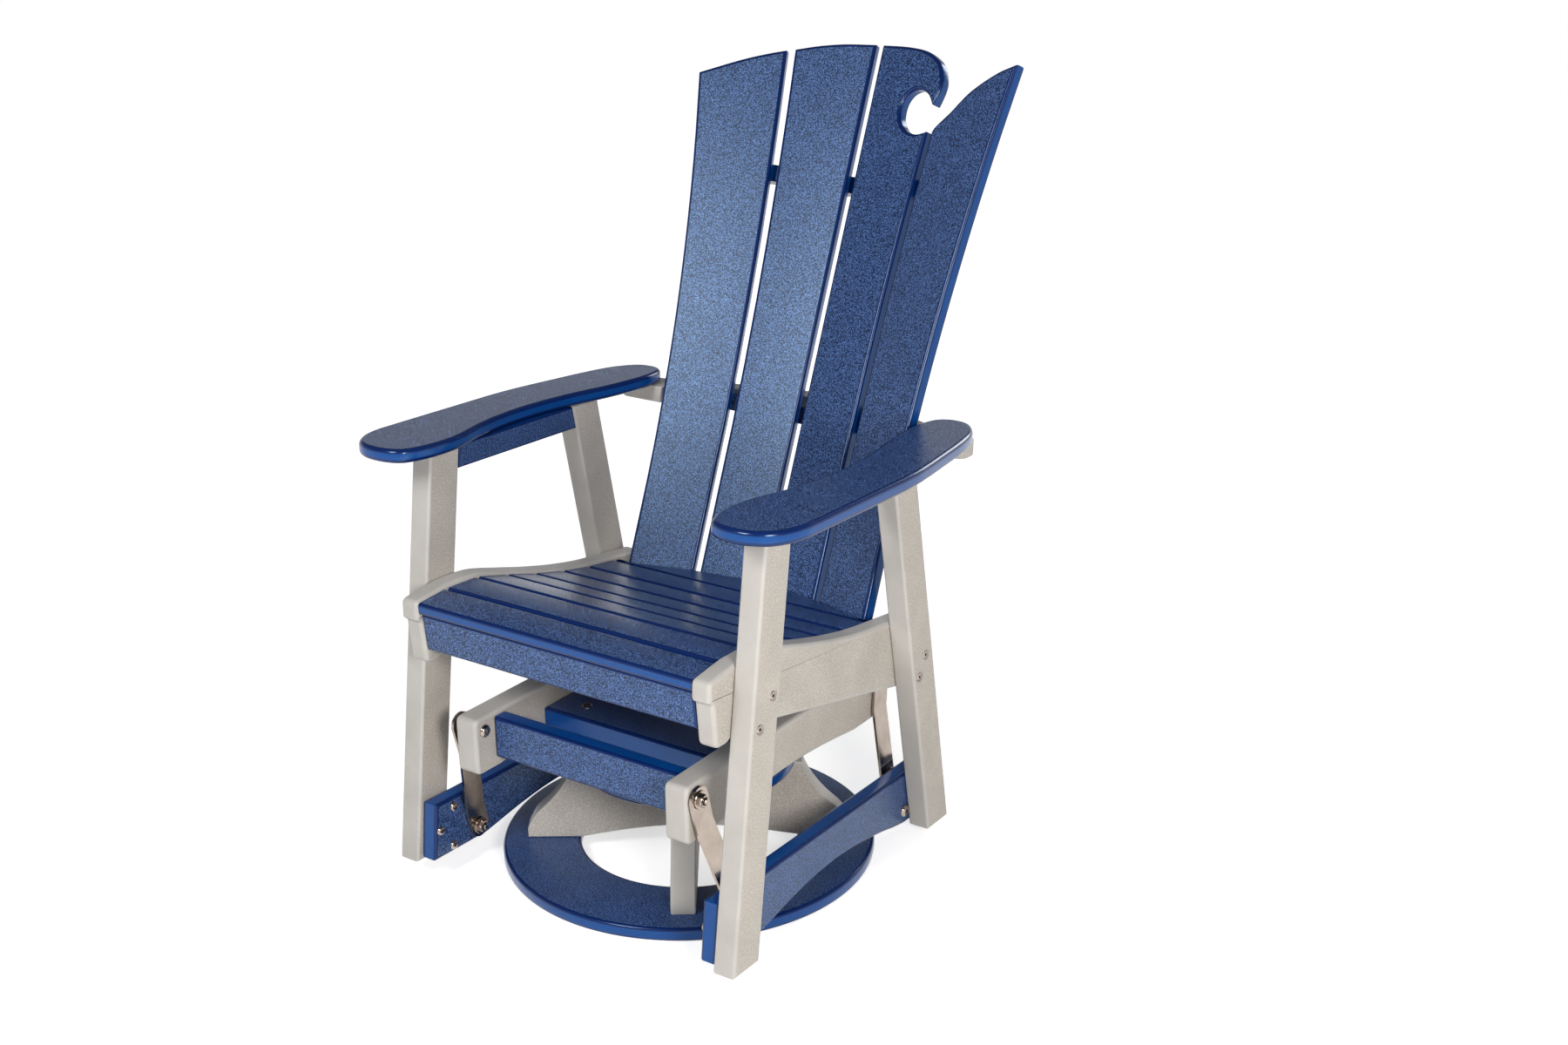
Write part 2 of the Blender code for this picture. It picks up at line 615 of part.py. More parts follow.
def link(name, sign, pivot, angle, lower_play, swivel):
    """A flat steel link, bent sideways twice, with round ends and a hole at each pivot."""
    axis = empty(name + "_axis", swivel, (0.0, *pivot), turn_x=angle)
    outline = [(sign * x, z) for x, z in link_outline()]
    made = as_mesh(board(name, outline, LINK_WIDTH, -LINK_WIDTH / 2, UPRIGHT, axis, STEEL))
    half, length = LINK_WIDTH / 2, LINK_LENGTH
    round_ends = [
        *arc((0.0, 0.0), half, 0.0, math.pi, 2 * ARC_STEPS),
        *arc((0.0, -length), half, math.pi, 2 * math.pi, 2 * ARC_STEPS),
    ]
    width = LINK_LOWER_X - LINK_UPPER_X + LINK_THICKNESS + 2 * CUT_OVERRUN
    start = LINK_UPPER_X - CUT_OVERRUN if sign > 0 else CUT_OVERRUN - LINK_UPPER_X - width
    trimmer = as_mesh(board(name + "_trimmer", round_ends, width, start, ALONG_X, axis, None))
    PARTS.objects.unlink(trimmer)
    CUTTERS.objects.link(trimmer)
    trimmer.hide_render = True
    trimmer.display_type = "WIRE"
    trim = made.modifiers.new("round ends", "BOOLEAN")
    trim.object = trimmer
    trim.operation = "INTERSECT"
    trim.solver = "EXACT"
    upper = (sign * (LINK_UPPER_X + LINK_THICKNESS / 2), 0.0, 0.0)
    lower = (sign * (LINK_LOWER_X + LINK_THICKNESS / 2), 0.0, -length)
    bored(made, BOLT_RADIUS + PIVOT_PLAY, [upper], LINK_THICKNESS)
    bored(made, BOLT_RADIUS + lower_play, [lower], LINK_THICKNESS)


def links(swivel):
    for side_name, sign in (("left", -1), ("right", 1)):
        play = PIVOT_PLAY if sign > 0 else OPEN_PIVOT_PLAY
        link(f"link_front_{side_name}", sign, FRONT_UPPER_PIVOT, FRONT_LINK_ANGLE, play, swivel)
        link(f"link_rear_{side_name}", sign, REAR_UPPER_PIVOT, REAR_LINK_ANGLE, OPEN_PIVOT_PLAY, swivel)


def lower_bolts(chair):
    for side_name, sign in (("left", -1), ("right", 1)):
        for end_name, pivot in (("front", FRONT_CHAIR_PIVOT), ("rear", REAR_CHAIR_PIVOT)):
            head_x = LEG_INNER_X
            nut_x = LINK_LOWER_X - SEAT_GAP
            bolt(f"lower_bolt_{end_name}_{side_name}", sign, head_x, nut_x, pivot, chair)


def leg_front_y(name, height):
    return LEG_FRONTS[name] + LEG_SLOPES[name] * (height - LEG_BOTTOM)


def leg_rear_y(name, height):
    return leg_front_y(name, height) + LEG_WIDTH * math.hypot(1.0, LEG_SLOPES[name])


def side_board(name, sign, inner_x, thickness, outline, chair, finish):
    start = inner_x if sign > 0 else -inner_x - thickness
    return board(name, outline, thickness, start, ALONG_X, chair, finish)


def legs(chair):
    top = ARM_BOTTOM - SEAT_GAP
    for side_name, sign in (("left", -1), ("right", 1)):
        for end_name in ("front", "rear"):
            outline = [
                (leg_front_y(end_name, LEG_BOTTOM), LEG_BOTTOM),
                (leg_rear_y(end_name, LEG_BOTTOM), LEG_BOTTOM),
                (leg_rear_y(end_name, top), top), (leg_front_y(end_name, top), top),
            ]
            name = f"leg_{end_name}_{side_name}"
            side_board(name, sign, LEG_INNER_X, LEG_THICKNESS, outline, chair, STONE)


def stretchers(chair):
    low, front = STRETCHER_TOP - STRETCHER_HEIGHT, STRETCHER_FRONT_Y
    rear = front + STRETCHER_LENGTH
    start, end = (front + STRETCHER_LENGTH * share for share in STRETCHER_ARCH_SHARES)
    outline = [
        (front, low), *arch(start, end, low, STRETCHER_ARCH_RISE), (rear, low),
        (rear - STRETCHER_END_LEAN, STRETCHER_TOP), (front + STRETCHER_END_LEAN, STRETCHER_TOP),
    ]
    for side_name, sign in (("left", -1), ("right", 1)):
        name = f"stretcher_{side_name}"
        made = side_board(name, sign, STRETCHER_INNER_X, STRETCHER_THICKNESS, outline, chair, NAVY)
        middle = sign * (STRETCHER_INNER_X + STRETCHER_THICKNESS / 2)
        places = [(middle, *FRONT_CHAIR_PIVOT), (middle, *REAR_CHAIR_PIVOT)]
        bored(as_mesh(made), BOLT_RADIUS + SEAT_GAP, places, STRETCHER_THICKNESS)


def seat_point(shares):
    return (SEAT_FRONT_Y + SEAT_DEPTH * shares[0], SEAT_CREST - SEAT_DIP * shares[1])


def seat_rails(chair):
    """The contoured side boards of the seat, with a nose and a lower lobe at the front."""
    line = [seat_point(shares) for shares in SEAT_LINE_SHARES]
    top = smooth([(y, z + RAIL_LIP) for y, z in line[1:-1]], 4)
    nose_top = line[0][1] + RAIL_LIP / 2
    nose_low = nose_top - RAIL_NOSE_HEIGHT
    lobe_rear = RAIL_LOBE_FRONT_Y + RAIL_LOBE_LENGTH
    end_low = RAIL_BELLY_BOTTOM + RAIL_BOTTOM_SLOPE * (RAIL_END_Y + RAIL_END_LEAN - RAIL_BELLY_Y)
    corners = [
        *reversed(top),
        (RAIL_NOSE_FRONT_Y, nose_top), (RAIL_NOSE_FRONT_Y, nose_low),
        (RAIL_LOBE_FRONT_Y, nose_low - RAIL_LIP),
        (RAIL_LOBE_FRONT_Y + RAIL_LOBE_LEAN, RAIL_LOBE_BOTTOM), (lobe_rear, RAIL_LOBE_BOTTOM),
        (RAIL_BELLY_Y, RAIL_BELLY_BOTTOM), (RAIL_END_Y + RAIL_END_LEAN, end_low),
        (RAIL_END_Y, RAIL_TOP_END),
    ]
    big, small = RAIL_NOSE_ROUNDING, RAIL_NOSE_ROUNDING / 2
    radii = [*(0.0 for _ in top), big, small, small, big, big, big, 0.0, 0.0]
    outline = rounded(corners, radii)
    for side_name, sign in (("left", -1), ("right", 1)):
        name = f"seat_rail_{side_name}"
        side_board(name, sign, RAIL_INNER_X, RAIL_THICKNESS, outline, chair, STONE)


def seat_slats(chair):
    line = [seat_point(shares) for shares in SEAT_LINE_SHARES]
    for index in range(len(line) - 2):
        (y0, z0), (y1, z1) = line[index], line[index + 1]
        width = math.dist(line[index], line[index + 1]) - SLAT_GAP
        frame = empty(
            f"seat_slat_{index + 1}_place", chair, (0.0, (y0 + y1) / 2, (z0 + z1) / 2),
            turn_x=math.atan2(z1 - z0, y1 - y0),
        )
        outline = box_outline(-width / 2, width / 2, -SLAT_THICKNESS, 0.0)
        name = f"seat_slat_{index + 1}"
        board(name, outline, 2 * SLAT_HALF_LENGTH, -SLAT_HALF_LENGTH, ALONG_X, frame, NAVY)
    rear_seat_slat(chair, line[-2], line[-1], len(line) - 1)


def rear_seat_slat(chair, start, end, number):
    """The last slat, whose rear edge follows the hollow of the back."""
    slope = math.atan2(end[1] - start[1], end[0] - start[0])
    frame = empty(f"seat_slat_{number}_place", chair, (0.0, *start), turn_x=slope)

    def edge(x):
        return (back_front_y(x, start[1]) - start[0] - REAR_SLAT_CLEARANCE) / math.cos(slope)

    half, joint = SLAT_HALF_LENGTH, back_joint_x(0.0)
    kept = max(SLAT_GAP, edge(BACK_HALF_WIDTH))
    rear = [(half, kept), (BACK_HALF_WIDTH, kept), (joint, edge(joint)), (0.0, edge(0.0))]
    left = [(-x, y) for x, y in reversed(rear[:-1])]
    outline = [(-half, SLAT_GAP / 2), (half, SLAT_GAP / 2), *rear, *left]
    board(f"seat_slat_{number}", outline, SLAT_THICKNESS, -SLAT_THICKNESS, FLAT, frame, NAVY)


def apron(chair):
    """The upright board under the front slat, leaning a little and cut to the slat above it."""
    first, second = seat_point(SEAT_LINE_SHARES[0]), seat_point(SEAT_LINE_SHARES[1])
    slope = (second[1] - first[1]) / (second[0] - first[0])
    under = first[1] - (SLAT_THICKNESS + SEAT_GAP) * math.hypot(1.0, slope)

    def top(y):
        return under + slope * (y - first[0])

    rear = APRON_FRONT_Y + APRON_THICKNESS
    outline = [
        (APRON_FRONT_Y + APRON_LEAN, APRON_BOTTOM), (rear + APRON_LEAN, APRON_BOTTOM),
        (rear, top(rear)), (APRON_FRONT_Y, top(APRON_FRONT_Y)),
    ]
    board("apron", outline, 2 * SLAT_HALF_LENGTH, -SLAT_HALF_LENGTH, ALONG_X, chair, NAVY)


# The back: two middle and two outer slats, each turned a little to make a hollow
def flare(height, start, amount):
    share = max(0.0, height - start) / (BACK_FLARE_TOP - start)
    return amount * share * share


def back_half_width(height):
    return BACK_HALF_WIDTH + flare(height, BACK_FLARE_START, BACK_HALF_FLARE)


def back_joint_x(height):
    return BACK_JOINT_X + flare(height, BACK_JOINT_FLARE_START, BACK_JOINT_FLARE)


def back_depth(x):
    """How far behind the back's own plane the front faces lie at a distance x from the middle."""
    middle = BACK_MIDDLE_DEPTH - math.tan(BACK_MIDDLE_TURN) * abs(x)
    outer = BACK_OUTER_DEPTH - math.tan(BACK_OUTER_TURN) * abs(x)
    return min(middle, outer)


def back_front_y(x, height):
    return BACK_Y + (height - BACK_Z) * math.tan(BACK_RECLINE) + back_depth(x) / math.cos(BACK_RECLINE)


def back_slat(name, sign, turn, depth, outline, back):
    """A slat, given as (distance from the middle, height) points on one side of the back."""
    frame = empty(name + "_place", back, (0.0, depth, 0.0), turn_z=-sign * turn)
    along = [(sign * x / math.cos(turn), height) for x, height in outline]
    board(name, along, BACK_THICKNESS, -BACK_THICKNESS, UPRIGHT, frame, NAVY)


def edge_run(edge, bottom, top):
    heights = [bottom + (top - bottom) * i / BACK_EDGE_STEPS for i in range(BACK_EDGE_STEPS + 1)]
    return [(edge(height), height) for height in heights]


def between(start, end, shares):
    across, rise = end[0] - start[0], end[1] - start[1]
    return [(start[0] + across * along, start[1] + rise * up) for along, up in shares]


def middle_inner_edge(_height):
    return BACK_SLAT_GAP / 2


def middle_outer_edge(height):
    return back_joint_x(height) - BACK_SLAT_GAP / 2


def outer_inner_edge(height):
    return back_joint_x(height) + BACK_SLAT_GAP / 2


def plain_outer_slat(back):
    inner = edge_run(outer_inner_edge, BACK_BOTTOM, BACK_OUTER_TOP_END)
    outer = edge_run(back_half_width, BACK_BOTTOM, BACK_CORNER_HEIGHT)
    top = [(outer[-1][0] * along, BACK_CORNER_HEIGHT * up) for along, up in BACK_OUTER_TOP_SHARES]
    top_run = smooth([outer[-1], *top, inner[-1]], 3)
    back_slat(
        "back_slat_1", -1, BACK_OUTER_TURN, BACK_OUTER_DEPTH,
        [*outer, *top_run[1:-1], *reversed(inner)], back,
    )


def plain_middle_slat(back):
    inner = edge_run(middle_inner_edge, BACK_BOTTOM, BACK_CROWN)
    outer = edge_run(middle_outer_edge, BACK_BOTTOM, BACK_INNER_TOP_START)
    top = between(outer[-1], inner[-1], BACK_INNER_TOP_SHARES)
    top_run = smooth([outer[-1], *top, inner[-1]], 3)
    back_slat(
        "back_slat_2", -1, BACK_MIDDLE_TURN, BACK_MIDDLE_DEPTH,
        [*outer, *top_run[1:-1], *reversed(inner)], back,
    )


def curl_points(shares):
    middle = middle_outer_edge(CURL_HEIGHT - CURL_FOOT_DROP) - CURL_INSET
    return [(middle + CURL_RADIUS * along, CURL_HEIGHT + CURL_RADIUS * up) for along, up in shares]


def curl_slat(back):
    """The slat that ends in the curl of a wave, with a round hollow open to its outer edge."""
    inner = edge_run(middle_inner_edge, BACK_BOTTOM, BACK_CROWN)
    outer = edge_run(middle_outer_edge, BACK_BOTTOM, CURL_HEIGHT - CURL_FOOT_DROP)
    hollow = smooth([outer[-1], *curl_points(CURL_HOLLOW_SHARES)], 3)
    crest = smooth([*curl_points(CURL_CREST_SHARES), inner[-1]], 3)
    outline = [*outer, *hollow[1:], *crest[1:-1], *reversed(inner)]
    back_slat("back_slat_3", 1, BACK_MIDDLE_TURN, BACK_MIDDLE_DEPTH, outline, back)


def rising_slat(back):
    """The outer slat whose top climbs to a point at its outer edge."""
    inner = edge_run(outer_inner_edge, BACK_BOTTOM, WAVE_FOOT_HEIGHT)
    outer = edge_run(back_half_width, BACK_BOTTOM, BACK_FLARE_TOP)
    top = between(inner[-1], outer[-1], WAVE_RISE_SHARES)
    outline = [*outer, *reversed(top), *reversed(inner)]
    back_slat("back_slat_4", 1, BACK_OUTER_TURN, BACK_OUTER_DEPTH, outline, back)


def hollow_outline(half, front_gap, depth):
    """Plan of a board behind the slats: its front edge follows their rear faces."""
    def rear_face(x, turn):
        return back_depth(x) + BACK_THICKNESS / math.cos(turn) + front_gap

    slope_change = math.tan(BACK_OUTER_TURN) - math.tan(BACK_MIDDLE_TURN)
    joint = (BACK_OUTER_DEPTH - BACK_MIDDLE_DEPTH) / slope_change
    right = [
        (0.0, rear_face(0.0, BACK_MIDDLE_TURN)), (joint, rear_face(joint, BACK_OUTER_TURN)),
        (half, rear_face(half, BACK_OUTER_TURN)),
    ]
    front = [*[(-x, y) for x, y in reversed(right[1:])], *right]
    return [*front, *[(x, y + depth) for x, y in reversed(front)]]


def battens(back):
    for name, height, depth, half in (
        ("upper_batten", UPPER_BATTEN_HEIGHT, UPPER_BATTEN_DEPTH, UPPER_BATTEN_HALF),
        ("lower_batten", LOWER_BATTEN_HEIGHT, LOWER_BATTEN_DEPTH, LOWER_BATTEN_HALF),
        ("lower_back_support", LOWER_SUPPORT_HEIGHT, LOWER_SUPPORT_DEPTH, SLAT_HALF_LENGTH),
    ):
        outline = hollow_outline(half, BATTEN_SEAT_GAP, depth)
        finish = STONE if name == "lower_back_support" else NAVY
        board(name, outline, BATTEN_HEIGHT, height, FLAT, back, finish)


def rear_cross_board(chair):
    """The flat board that carries the rear ends of the arms and backs the lower batten."""
    top = ARM_BOTTOM - SEAT_GAP
    reach = (BACK_THICKNESS + LOWER_BATTEN_DEPTH) / math.cos(BACK_OUTER_TURN) + 2 * BATTEN_SEAT_GAP

    def front(x):
        return back_front_y(x, top) + reach / math.cos(BACK_RECLINE)

    joint = back_joint_x(LOWER_BATTEN_HEIGHT)
    step, end = CROSS_STEP_X, CROSS_HALF_LENGTH
    right = [
        (0.0, front(0.0)), (joint, front(joint)), (step, front(step)), (step, CROSS_FRONT_Y),
        (end, CROSS_FRONT_Y), (end, CROSS_FRONT_Y + CROSS_END_DEPTH),
        (step, front(step) + CROSS_WIDTH), (joint, front(joint) + CROSS_WIDTH),
        (0.0, front(0.0) + CROSS_WIDTH),
    ]
    soft = CROSS_CORNER
    radii = [0.0, soft, soft / 3, soft / 3, soft, soft, soft, soft, 0.0]
    left = [(-x, y) for x, y in reversed(right[1:-1])]
    outline = rounded([*right, *left], [*radii, *reversed(radii[1:-1])])
    board("rear_cross_board", outline, SUPPORT_THICKNESS, top - SUPPORT_THICKNESS, FLAT, chair, STONE)


def arms(chair):
    inner_x = ARM_OUTER_X - ARM_WIDTH
    plan = [(inner_x + ARM_WIDTH * x, ARM_FRONT_Y + ARM_LENGTH * y) for x, y in ARM_OUTLINE_SHARES]
    run = smooth([*plan, plan[0]], 2)[:-1]
    top = ARM_BOTTOM - SEAT_GAP
    low = top - ARM_RAIL_HEIGHT
    rail = [
        (leg_rear_y("front", low) + SEAT_GAP, low), (leg_front_y("rear", low) - SEAT_GAP, low),
        (leg_front_y("rear", top) - SEAT_GAP, top), (leg_rear_y("front", top) + SEAT_GAP, top),
    ]
    for side_name, sign in (("left", -1), ("right", 1)):
        outline = [(sign * x, y) for x, y in run]
        board(f"arm_{side_name}", outline, ARM_THICKNESS, ARM_BOTTOM, FLAT, chair, NAVY)
        side_board(f"arm_rail_{side_name}", sign, LEG_INNER_X, ARM_RAIL_THICKNESS, rail, chair, NAVY)


def centre_over_footprint(root):
    """Moves the root so that the origin is under the middle of the whole part."""
    bpy.context.view_layer.update()
    graph = bpy.context.evaluated_depsgraph_get()
    depths = []
    for made in PARTS.objects:
        if made.type == "EMPTY":
            continue
        shown = made.evaluated_get(graph)
        depths += [(shown.matrix_world @ vertex.co).y for vertex in shown.to_mesh().vertices]
        shown.to_mesh_clear()
    root.location.y = -(min(depths) + max(depths)) / 2


clear_scene()
PARTS = new_collection("swivel_glider")
CUTTERS = new_collection("cutters", hidden=True)
ROOT = empty("swivel_glider_root")
base(ROOT)
HOUSING_BOTTOM = swivel_base(ROOT)
SWIVEL = empty("swivel_axis", ROOT)
glider_frame(SWIVEL, HOUSING_BOTTOM)
upper_fasteners(SWIVEL)
links(SWIVEL)
CHAIR_AXIS = empty("chair_axis", SWIVEL, (0.0, *FRONT_LOWER_PIVOT), turn_x=REST_TILT)
CHAIR = empty("chair_frame", CHAIR_AXIS, (0.0, -FRONT_CHAIR_PIVOT[0], -FRONT_CHAIR_PIVOT[1]))
lower_bolts(CHAIR)
legs(CHAIR)
stretchers(CHAIR)
seat_rails(CHAIR)
seat_slats(CHAIR)
apron(CHAIR)
rear_cross_board(CHAIR)
arms(CHAIR)
BACK = empty("back_frame", CHAIR, (0.0, BACK_Y, BACK_Z), turn_x=-BACK_RECLINE)
plain_outer_slat(BACK)
plain_middle_slat(BACK)
curl_slat(BACK)
rising_slat(BACK)
battens(BACK)
centre_over_footprint(ROOT)
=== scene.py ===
import json
import math

import bmesh
import bpy
from mathutils import Matrix, Vector


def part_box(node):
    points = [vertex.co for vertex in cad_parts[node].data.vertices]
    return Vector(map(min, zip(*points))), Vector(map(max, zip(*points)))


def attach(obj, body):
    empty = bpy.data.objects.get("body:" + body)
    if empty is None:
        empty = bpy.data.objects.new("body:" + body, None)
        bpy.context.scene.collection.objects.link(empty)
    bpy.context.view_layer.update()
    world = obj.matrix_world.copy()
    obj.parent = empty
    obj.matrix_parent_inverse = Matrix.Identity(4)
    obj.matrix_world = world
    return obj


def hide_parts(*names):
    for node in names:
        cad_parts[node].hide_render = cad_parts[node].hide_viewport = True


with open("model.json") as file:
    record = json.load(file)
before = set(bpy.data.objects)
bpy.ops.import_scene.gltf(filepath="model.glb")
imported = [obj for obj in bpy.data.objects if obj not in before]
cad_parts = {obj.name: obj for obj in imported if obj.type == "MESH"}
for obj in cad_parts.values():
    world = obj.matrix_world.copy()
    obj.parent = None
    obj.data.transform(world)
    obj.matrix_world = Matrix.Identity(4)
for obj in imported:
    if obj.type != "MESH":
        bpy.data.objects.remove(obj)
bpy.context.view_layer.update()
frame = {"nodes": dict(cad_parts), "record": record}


# Ring and disc of the base
# A flat ring sawn from one sheet of navy plastic lumber lies on the floor, and the disc that
# was cut from its middle carries the swivel. The sheet's skin is pebbled, its cut rims smooth.

def link_up(tree, source, target):
    """Sets a socket to a number or a colour, or joins it to another socket."""
    if isinstance(source, bpy.types.NodeSocket):
        tree.links.new(source, target)
    else:
        target.default_value = source


def calculate(tree, operation, first, second=0.0):
    """One step of arithmetic in a node tree."""
    node = tree.nodes.new("ShaderNodeMath")
    node.operation = operation
    link_up(tree, first, node.inputs[0])
    link_up(tree, second, node.inputs[1])
    return node.outputs[0]


def spread(tree, value, low, high, new_low=0.0, new_high=1.0):
    """Maps the range from low to high to a new range, and holds to its ends."""
    node = tree.nodes.new("ShaderNodeMapRange")
    link_up(tree, value, node.inputs["Value"])
    for name, number in (
        ("From Min", low), ("From Max", high), ("To Min", new_low), ("To Max", new_high),
    ):
        link_up(tree, number, node.inputs[name])
    return node.outputs["Result"]


def blend_colours(tree, share, first, second, kind="MIX"):
    """Mixes or multiplies two colours; share is how much of the second one counts."""
    node = tree.nodes.new("ShaderNodeMix")
    node.data_type = "RGBA"
    node.blend_type = kind
    link_up(tree, share, node.inputs["Factor"])
    link_up(tree, first, node.inputs[6])
    link_up(tree, second, node.inputs[7])
    return node.outputs[2]


def noise(tree, vector, size, detail=2.0, roughness=0.5, distortion=0.0):
    """Random mottling whose blots are about this size, in metres."""
    node = tree.nodes.new("ShaderNodeTexNoise")
    tree.links.new(vector, node.inputs["Vector"])
    node.inputs["Scale"].default_value = 1.0 / size
    node.inputs["Detail"].default_value = detail
    node.inputs["Roughness"].default_value = roughness
    node.inputs["Distortion"].default_value = distortion
    return node.outputs["Fac"]


def new_group(name, kind, inputs, outputs):
    """A node group with named sockets: its tree and the two nodes at its ends."""
    tree = bpy.data.node_groups.new(name, kind)
    for label, socket, default in inputs:
        made = tree.interface.new_socket(label, in_out="INPUT", socket_type=socket)
        if default is not None:
            made.default_value = default
    for label, socket in outputs:
        tree.interface.new_socket(label, in_out="OUTPUT", socket_type=socket)
    return tree, tree.nodes.new("NodeGroupInput"), tree.nodes.new("NodeGroupOutput")


PEBBLE_SIZE = 0.0020
GRAIN_SIZE = 0.0009
CLOUD_SIZE = 0.055
GRAIN_SHARE = 0.35
FLECK_RANGE = (0.45, 0.63)
CLOUD_RANGE = (0.32, 0.68)
RIM_MARK = 0.5
SAWN_MARK = 1.0
RIM_CALM = 0.85


def pebbled_skin():
    """The skin of extruded plastic lumber: close flecks, cloudy shade and low pebbles."""
    tree, entry, result = new_group(
        "pebbled skin", "ShaderNodeTree",
        [("Machined", "NodeSocketFloat", 0.0)],
        [("Fleck", "NodeSocketFloat"), ("Cloud", "NodeSocketFloat"), ("Height", "NodeSocketFloat")],
    )
    place = tree.nodes.new("ShaderNodeTexCoord").outputs["Object"]
    machined = entry.outputs["Machined"]
    coarse = noise(tree, place, PEBBLE_SIZE, detail=2.0, roughness=0.6, distortion=0.3)
    fine = noise(tree, place, GRAIN_SIZE, detail=1.0)
    cloud = noise(tree, place, CLOUD_SIZE, detail=2.0)
    flecks = spread(tree, coarse, *FLECK_RANGE)
    calm = spread(tree, machined, 0.0, RIM_MARK, 0.0, RIM_CALM)
    kept = calculate(tree, "SUBTRACT", 1.0, calm)
    centred = calculate(tree, "SUBTRACT", flecks, 0.5)
    fleck = calculate(tree, "ADD", calculate(tree, "MULTIPLY", centred, kept), 0.5)
    bumps = calculate(tree, "ADD", calculate(tree, "MULTIPLY", fine, GRAIN_SHARE), coarse)
    height = calculate(tree, "MULTIPLY", bumps, kept)
    tree.links.new(fleck, result.inputs["Fleck"])
    tree.links.new(spread(tree, cloud, *CLOUD_RANGE), result.inputs["Cloud"])
    tree.links.new(height, result.inputs["Height"])
    return tree


BARE_TONES = (0.86, 1.14)
CLOUD_TONES = (0.95, 1.05)
GLOSS_CHANGE = 0.05
PEBBLE_STRENGTH = 0.75


def lumber(name, dark, light, rim, edge, skin_roughness, edge_roughness, pebble_height, sheen,
           sheen_colour=(1.0, 1.0, 1.0)):
    """Plastic lumber: a skin flecked with two colours, and plain rounded rims and sawn edges. A rim
    colour darker than the edge colour is painted shade on the rounded-over rims.
    """
    made = bpy.data.materials.new(name)
    made.use_nodes = True
    tree = made.node_tree
    shader = tree.nodes["Principled BSDF"]
    shader.inputs["Specular IOR Level"].default_value = sheen
    shader.inputs["Specular Tint"].default_value = (*sheen_colour, 1.0)
    cut = tree.nodes.new("ShaderNodeAttribute")
    cut.attribute_name = "machined"
    skin = tree.nodes.new("ShaderNodeGroup")
    skin.node_tree = PEBBLED_SKIN
    tree.links.new(cut.outputs["Fac"], skin.inputs["Machined"])
    fleck, machined = skin.outputs["Fleck"], cut.outputs["Fac"]
    flecked = blend_colours(tree, fleck, (*dark, 1.0), (*light, 1.0))
    faint = spread(tree, fleck, 0.0, 1.0, *BARE_TONES)
    sawn = spread(tree, machined, RIM_MARK, SAWN_MARK)
    # Colour of the rims and sawn edges: a rim colour darker than the edge colour is painted shade
    # on the roundovers.
    cut_and_rim_shade = blend_colours(tree, sawn, (*rim, 1.0), (*edge, 1.0))
    cut_tone_and_rim_shade = blend_colours(tree, 1.0, cut_and_rim_shade, faint, "MULTIPLY")
    colour = blend_colours(tree, spread(tree, machined, 0.0, RIM_MARK), flecked, cut_tone_and_rim_shade)
    shade = spread(tree, skin.outputs["Cloud"], 0.0, 1.0, *CLOUD_TONES)
    tree.links.new(blend_colours(tree, 1.0, colour, shade, "MULTIPLY"), shader.inputs["Base Color"])
    gloss = spread(tree, machined, 0.0, RIM_MARK, skin_roughness, edge_roughness)
    change = spread(tree, fleck, 0.0, 1.0, GLOSS_CHANGE, -GLOSS_CHANGE)
    tree.links.new(calculate(tree, "ADD", gloss, change), shader.inputs["Roughness"])
    bump = tree.nodes.new("ShaderNodeBump")
    bump.inputs["Strength"].default_value = PEBBLE_STRENGTH
    bump.inputs["Distance"].default_value = pebble_height
    tree.links.new(skin.outputs["Height"], bump.inputs["Height"])
    tree.links.new(bump.outputs["Normal"], shader.inputs["Normal"])
    return made


PEBBLED_SKIN = pebbled_skin()
# The rim colour is the plain machined blue made darker, which is painted shade on the rounded-over
# rims; the edge colour is the sawn edges' own.
NAVY = lumber(
    "navy lumber", dark=(0.001, 0.007, 0.042), light=(0.112, 0.215, 0.520),
    rim=(0.002, 0.017, 0.110), edge=(0.001, 0.056, 0.260), skin_roughness=0.28,
    edge_roughness=0.20, pebble_height=0.0003, sheen=0.50,
    sheen_colour=(0.60, 0.80, 1.0),
)
BODY_OF = {
    node: body for body, nodes in frame["record"]["behaviour"]["bodies"].items() for node in nodes
}


def new_object(name, shell, finish):
    """A mesh object at the origin, made from a bmesh and shaded smooth."""
    mesh = bpy.data.meshes.new(name)
    shell.to_mesh(mesh)
    shell.free()
    mesh.shade_smooth()
    made = bpy.data.objects.new(name, mesh)
    bpy.context.scene.collection.objects.link(made)
    if finish:
        mesh.materials.append(finish)
    return made


def settled(made):
    """Applies the modifiers of an object, keeping the normals that they leave."""
    graph = bpy.context.evaluated_depsgraph_get()
    made.data = bpy.data.meshes.new_from_object(made.evaluated_get(graph))
    made.modifiers.clear()
    return made


SKIN_COSINE = 0.985  # of the lean at which a board's own skin gives way to its rims
SAWN_COSINE = 0.15  # and of the lean at which the rims give way to a sawn edge


def mark_machined(mesh, skin_normal):
    """Notes 0 on the board's own skin, 0.5 on its rounded-over rims and 1 on its sawn edges."""
    marks = mesh.attributes.new("machined", "FLOAT", "FACE")
    leans = [abs(face.normal.dot(skin_normal)) for face in mesh.polygons]
    marks.data.foreach_set("value", [
        SAWN_MARK if lean < SAWN_COSINE else RIM_MARK if lean < SKIN_COSINE else 0.0
        for lean in leans
    ])


def stand_for(piece, slot, *nodes):
    """The piece takes the place of these nodes and moves with their body. The slot is not used."""
    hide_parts(*nodes)
    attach(piece, BODY_OF[nodes[0]])


SWIVEL_Y = frame["record"]["behaviour"]["joints"][0]["pos_m"][1]
RING_HOLE_RADIUS = 0.1778
RIM_EASING = 0.0050
RIM_STEPS = 144
ROUNDOVER_TURNS = [math.radians(turn) for turn in (0, 22.5, 45, 67.5, 90)]
MERGE_DISTANCE = 0.00001


